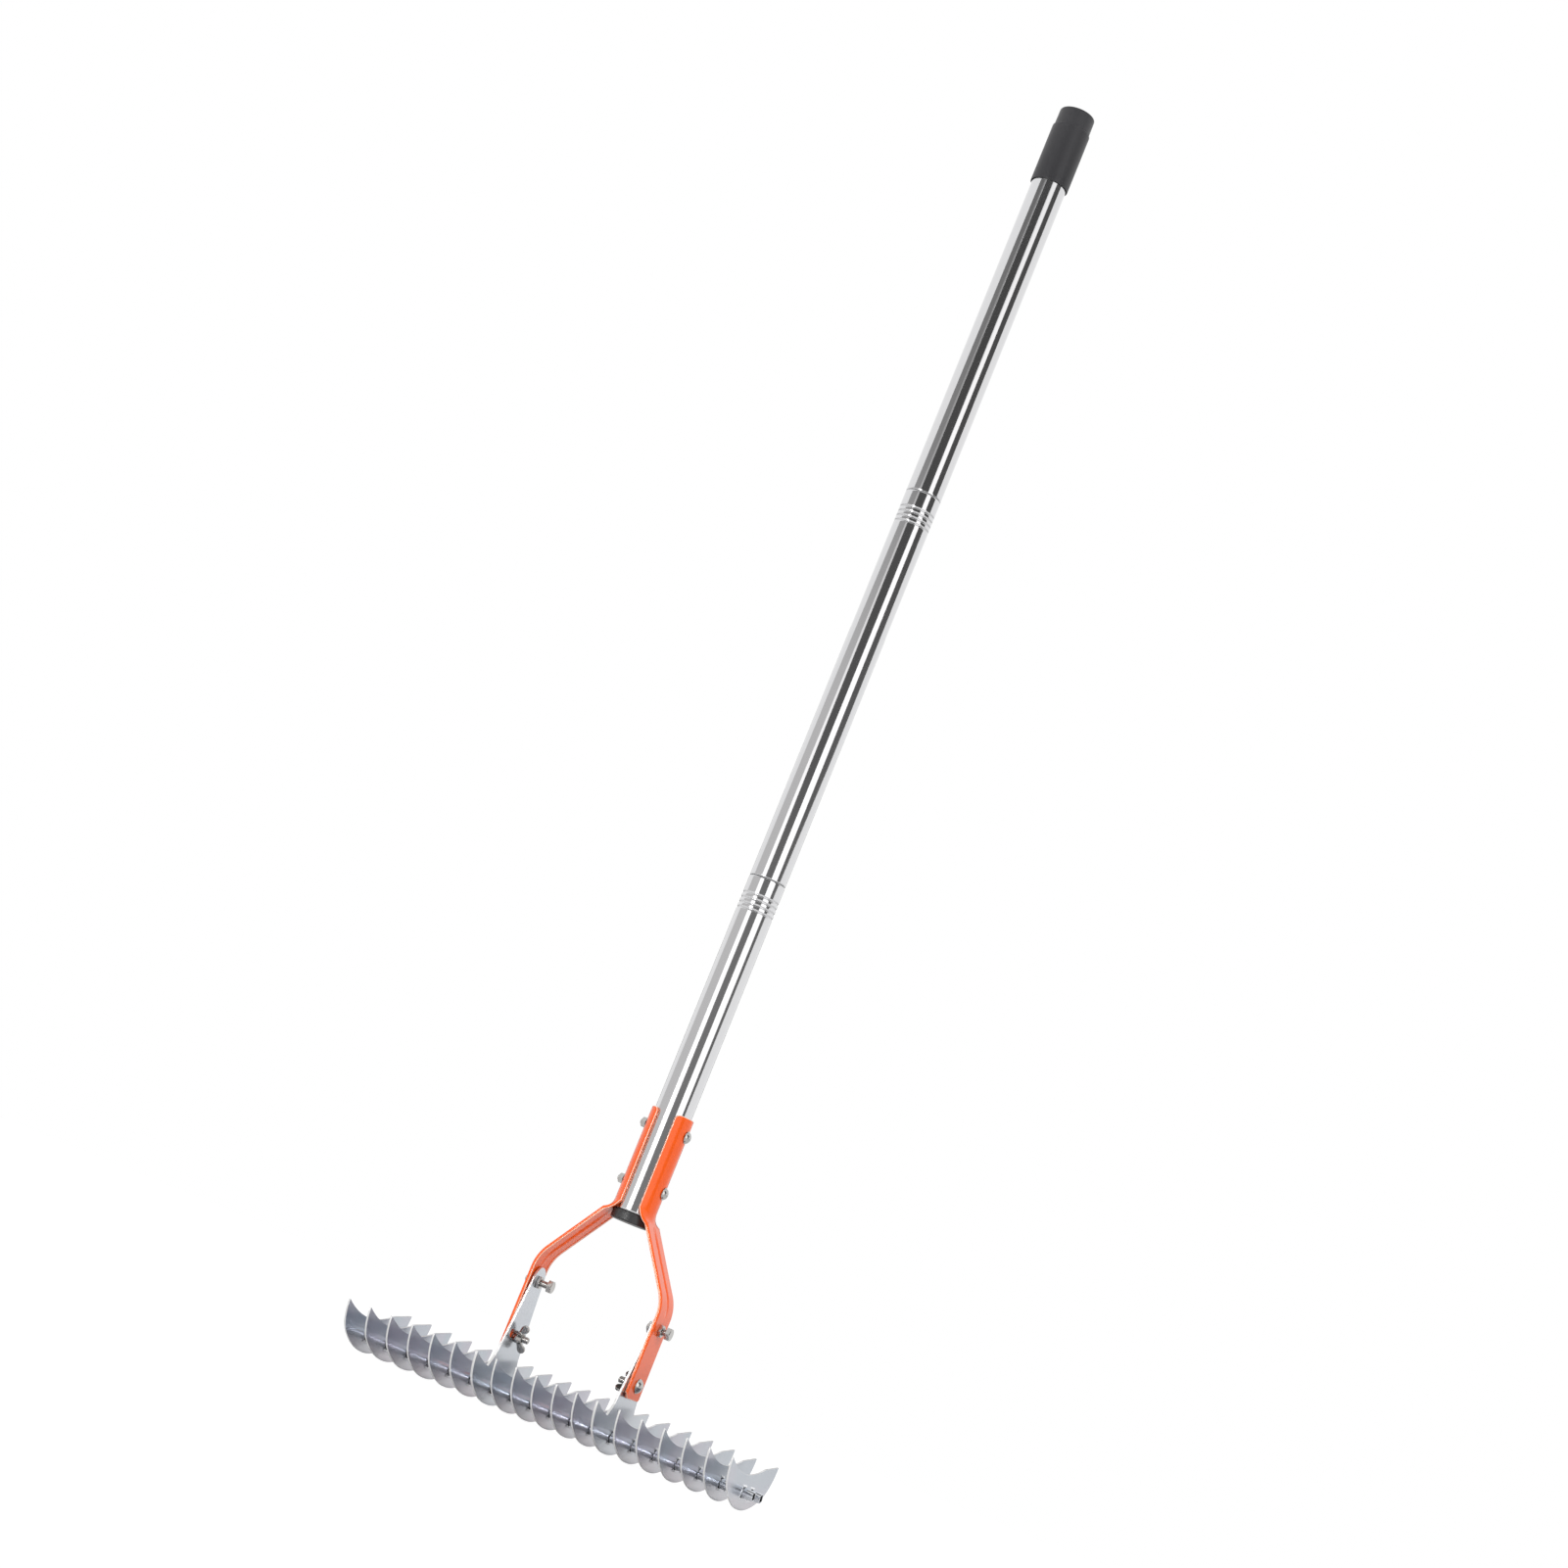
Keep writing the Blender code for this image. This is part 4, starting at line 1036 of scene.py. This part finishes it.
floor_finish = Finish("white_floor", Roughness=0.9)
floor_tree = floor_finish.tree
cast_light = floor_finish.node("ShaderNodeBsdfDiffuse", {}, {"Color": (0.82, 0.82, 0.82, 1.0)})
glow = floor_finish.node("ShaderNodeEmission", {}, {"Color": (1.0, 1.0, 1.0, 1.0), "Strength": floor_glow})
seen = rays(floor_finish, "Is Camera Ray", "Is Transmission Ray")
blend = floor_finish.node("ShaderNodeMixShader", {}, {0: seen * floor_glow_share, 1: cast_light, 2: glow})
floor_tree.links.new(blend.socket, floor_tree.nodes["Material Output"].inputs["Surface"])
bm = bmesh.new()
bmesh.ops.create_circle(bm, cap_ends=True, segments=96, radius=floor_radius)
floor = piece("studio_floor", bm, floor_finish, matrix=Matrix.Translation((0, 0, floor_height)))


def glowing(name, columns):
    """A surface of lit columns that only polished metal shows. A corner is (x, y, z, glow)."""
    surface = Finish(f"{name}_finish")
    glow = surface.node("ShaderNodeAttribute", {"attribute_name": "glow"}, output="Fac")
    light = surface.node("ShaderNodeEmission", {}, {"Color": (1.0, 0.99, 0.985, 1.0), "Strength": glow})
    surface.tree.links.new(light.socket, surface.tree.nodes["Material Output"].inputs["Surface"])
    bm = bmesh.new()
    level = bm.verts.layers.float.new("glow")
    made = []
    for column in columns:
        verts = []
        for *corner, brightness in column:
            verts.append(bm.verts.new(corner))
            verts[-1][level] = brightness
        made.append(verts)
    for first, second in zip(made, made[1:]):
        for row in range(len(first) - 1):
            bm.faces.new([first[row], second[row], second[row + 1], first[row + 1]])
    obj = piece(name, bm, surface)
    obj.visible_camera = False
    obj.visible_diffuse = False
    obj.visible_shadow = False
    obj.visible_transmission = False


def screen(name, rows, radius=1.9):
    """A tall curved panel round the pole. Each row going up is (height, from, to, brightness)."""
    columns = []
    for step in range(screen_steps + 1):
        column = []
        for height, from_deg, to_deg, brightness in rows:
            angle = math.radians(from_deg + (to_deg - from_deg) * step / screen_steps)
            column.append((radius * math.cos(angle), radius * math.sin(angle), height, brightness))
        columns.append(column)
    glowing(name, columns)


screen("grey_wall_left", ((0.0, -190, -124, 0.72), (1.1, -168, -114, 0.62), (1.5, -148, -112, 0.30),
                          (2.3, -128, -108, 0.10)))
screen("white_panel_left", ((0.0, -124, -92, 1.6), (0.75, -122, -93, 1.6), (1.1, -112, -99, 1.2),
                            (1.5, -113, -102, 0.45), (2.3, -112, -101, 0.20)))
screen("strip_light_left", ((0.04, -108, -99, 15.0), (0.26, -108, -99, 15.0), (0.28, -114, -99, 15.0),
                            (0.46, -114, -99, 15.0)), 1.88)
screen("dark_panel_front", ((0.0, -91, -54, 0.28), (0.75, -92, -53, 0.20), (1.0, -98, -54, 0.12),
                            (1.35, -102, -51, 0.09), (1.7, -101, -56, 0.08), (2.3, -98, -55, 0.08)))
screen("white_panel_right", ((0.0, -53, -17, 1.6), (1.0, -53, -20, 1.6), (2.3, -48, -34, 1.0)))
screen("dark_panel_right", ((0.0, -16, -3, 0.16), (0.75, -16, 4, 0.16), (1.0, -18, 24, 0.14),
                            (1.2, -25, 20, 0.12), (1.4, -30, 14, 0.09), (1.7, -28, 9, 0.09),
                            (2.3, -23, 6, 0.09)))
screen("dark_panel_back", ((0.0, 92, 128, 0.05), (0.55, 92, 128, 0.05), (1.2, 92, 126, 0.60)))
glowing("dark_ceiling", [[(x, y, 3.4, 0.15) for y in (-1.2, 1.2)] for x in (-1.2, 1.2)])


def lamp(name, place, aim, width, power):
    """A square soft lamp turned to its aim, which polished metal doesn't show."""
    light = bpy.data.lights.new(name, "AREA")
    light.shape = "SQUARE"
    light.size = width
    light.energy = power
    made = bpy.data.objects.new(name, light)
    made.location = place
    made.rotation_mode = "QUATERNION"
    made.rotation_quaternion = (Vector(aim) - Vector(place)).to_track_quat("-Z", "Y")
    made.visible_glossy = False
    scene.collection.objects.link(made)


lamp("key_lamp", (-1.3, -2.4, 2.6), (0, 0, 0.5), 1.6, 46.0)
lamp("fill_lamp", (2.4, -1.6, 1.6), (0, 0, 0.4), 1.8, 27.0)
lamp("back_lamp", (-0.6, 2.4, 2.4), (0, 0, 0.5), 1.8, 20.0)

camera_data = bpy.data.cameras.new("photo_view")
camera = bpy.data.objects.new("photo_view", camera_data)
scene.collection.objects.link(camera)
right = Vector((0.895536, 0.247564, 0.369767))
down = Vector((0.294477, 0.293279, -0.909545))
forward = Vector((-0.333615, 0.923418, 0.18974))
view_turn = Matrix((right, -down, -forward)).transposed().to_4x4()
camera.matrix_world = Matrix.Translation((0.85, -2.4061, 0.079)) @ view_turn
camera_data.sensor_fit = "HORIZONTAL"
camera_data.sensor_width = sensor_width
camera_data.lens = focal_pixels / photo_pixels * sensor_width
camera_data.clip_end = 40.0
scene.camera = camera
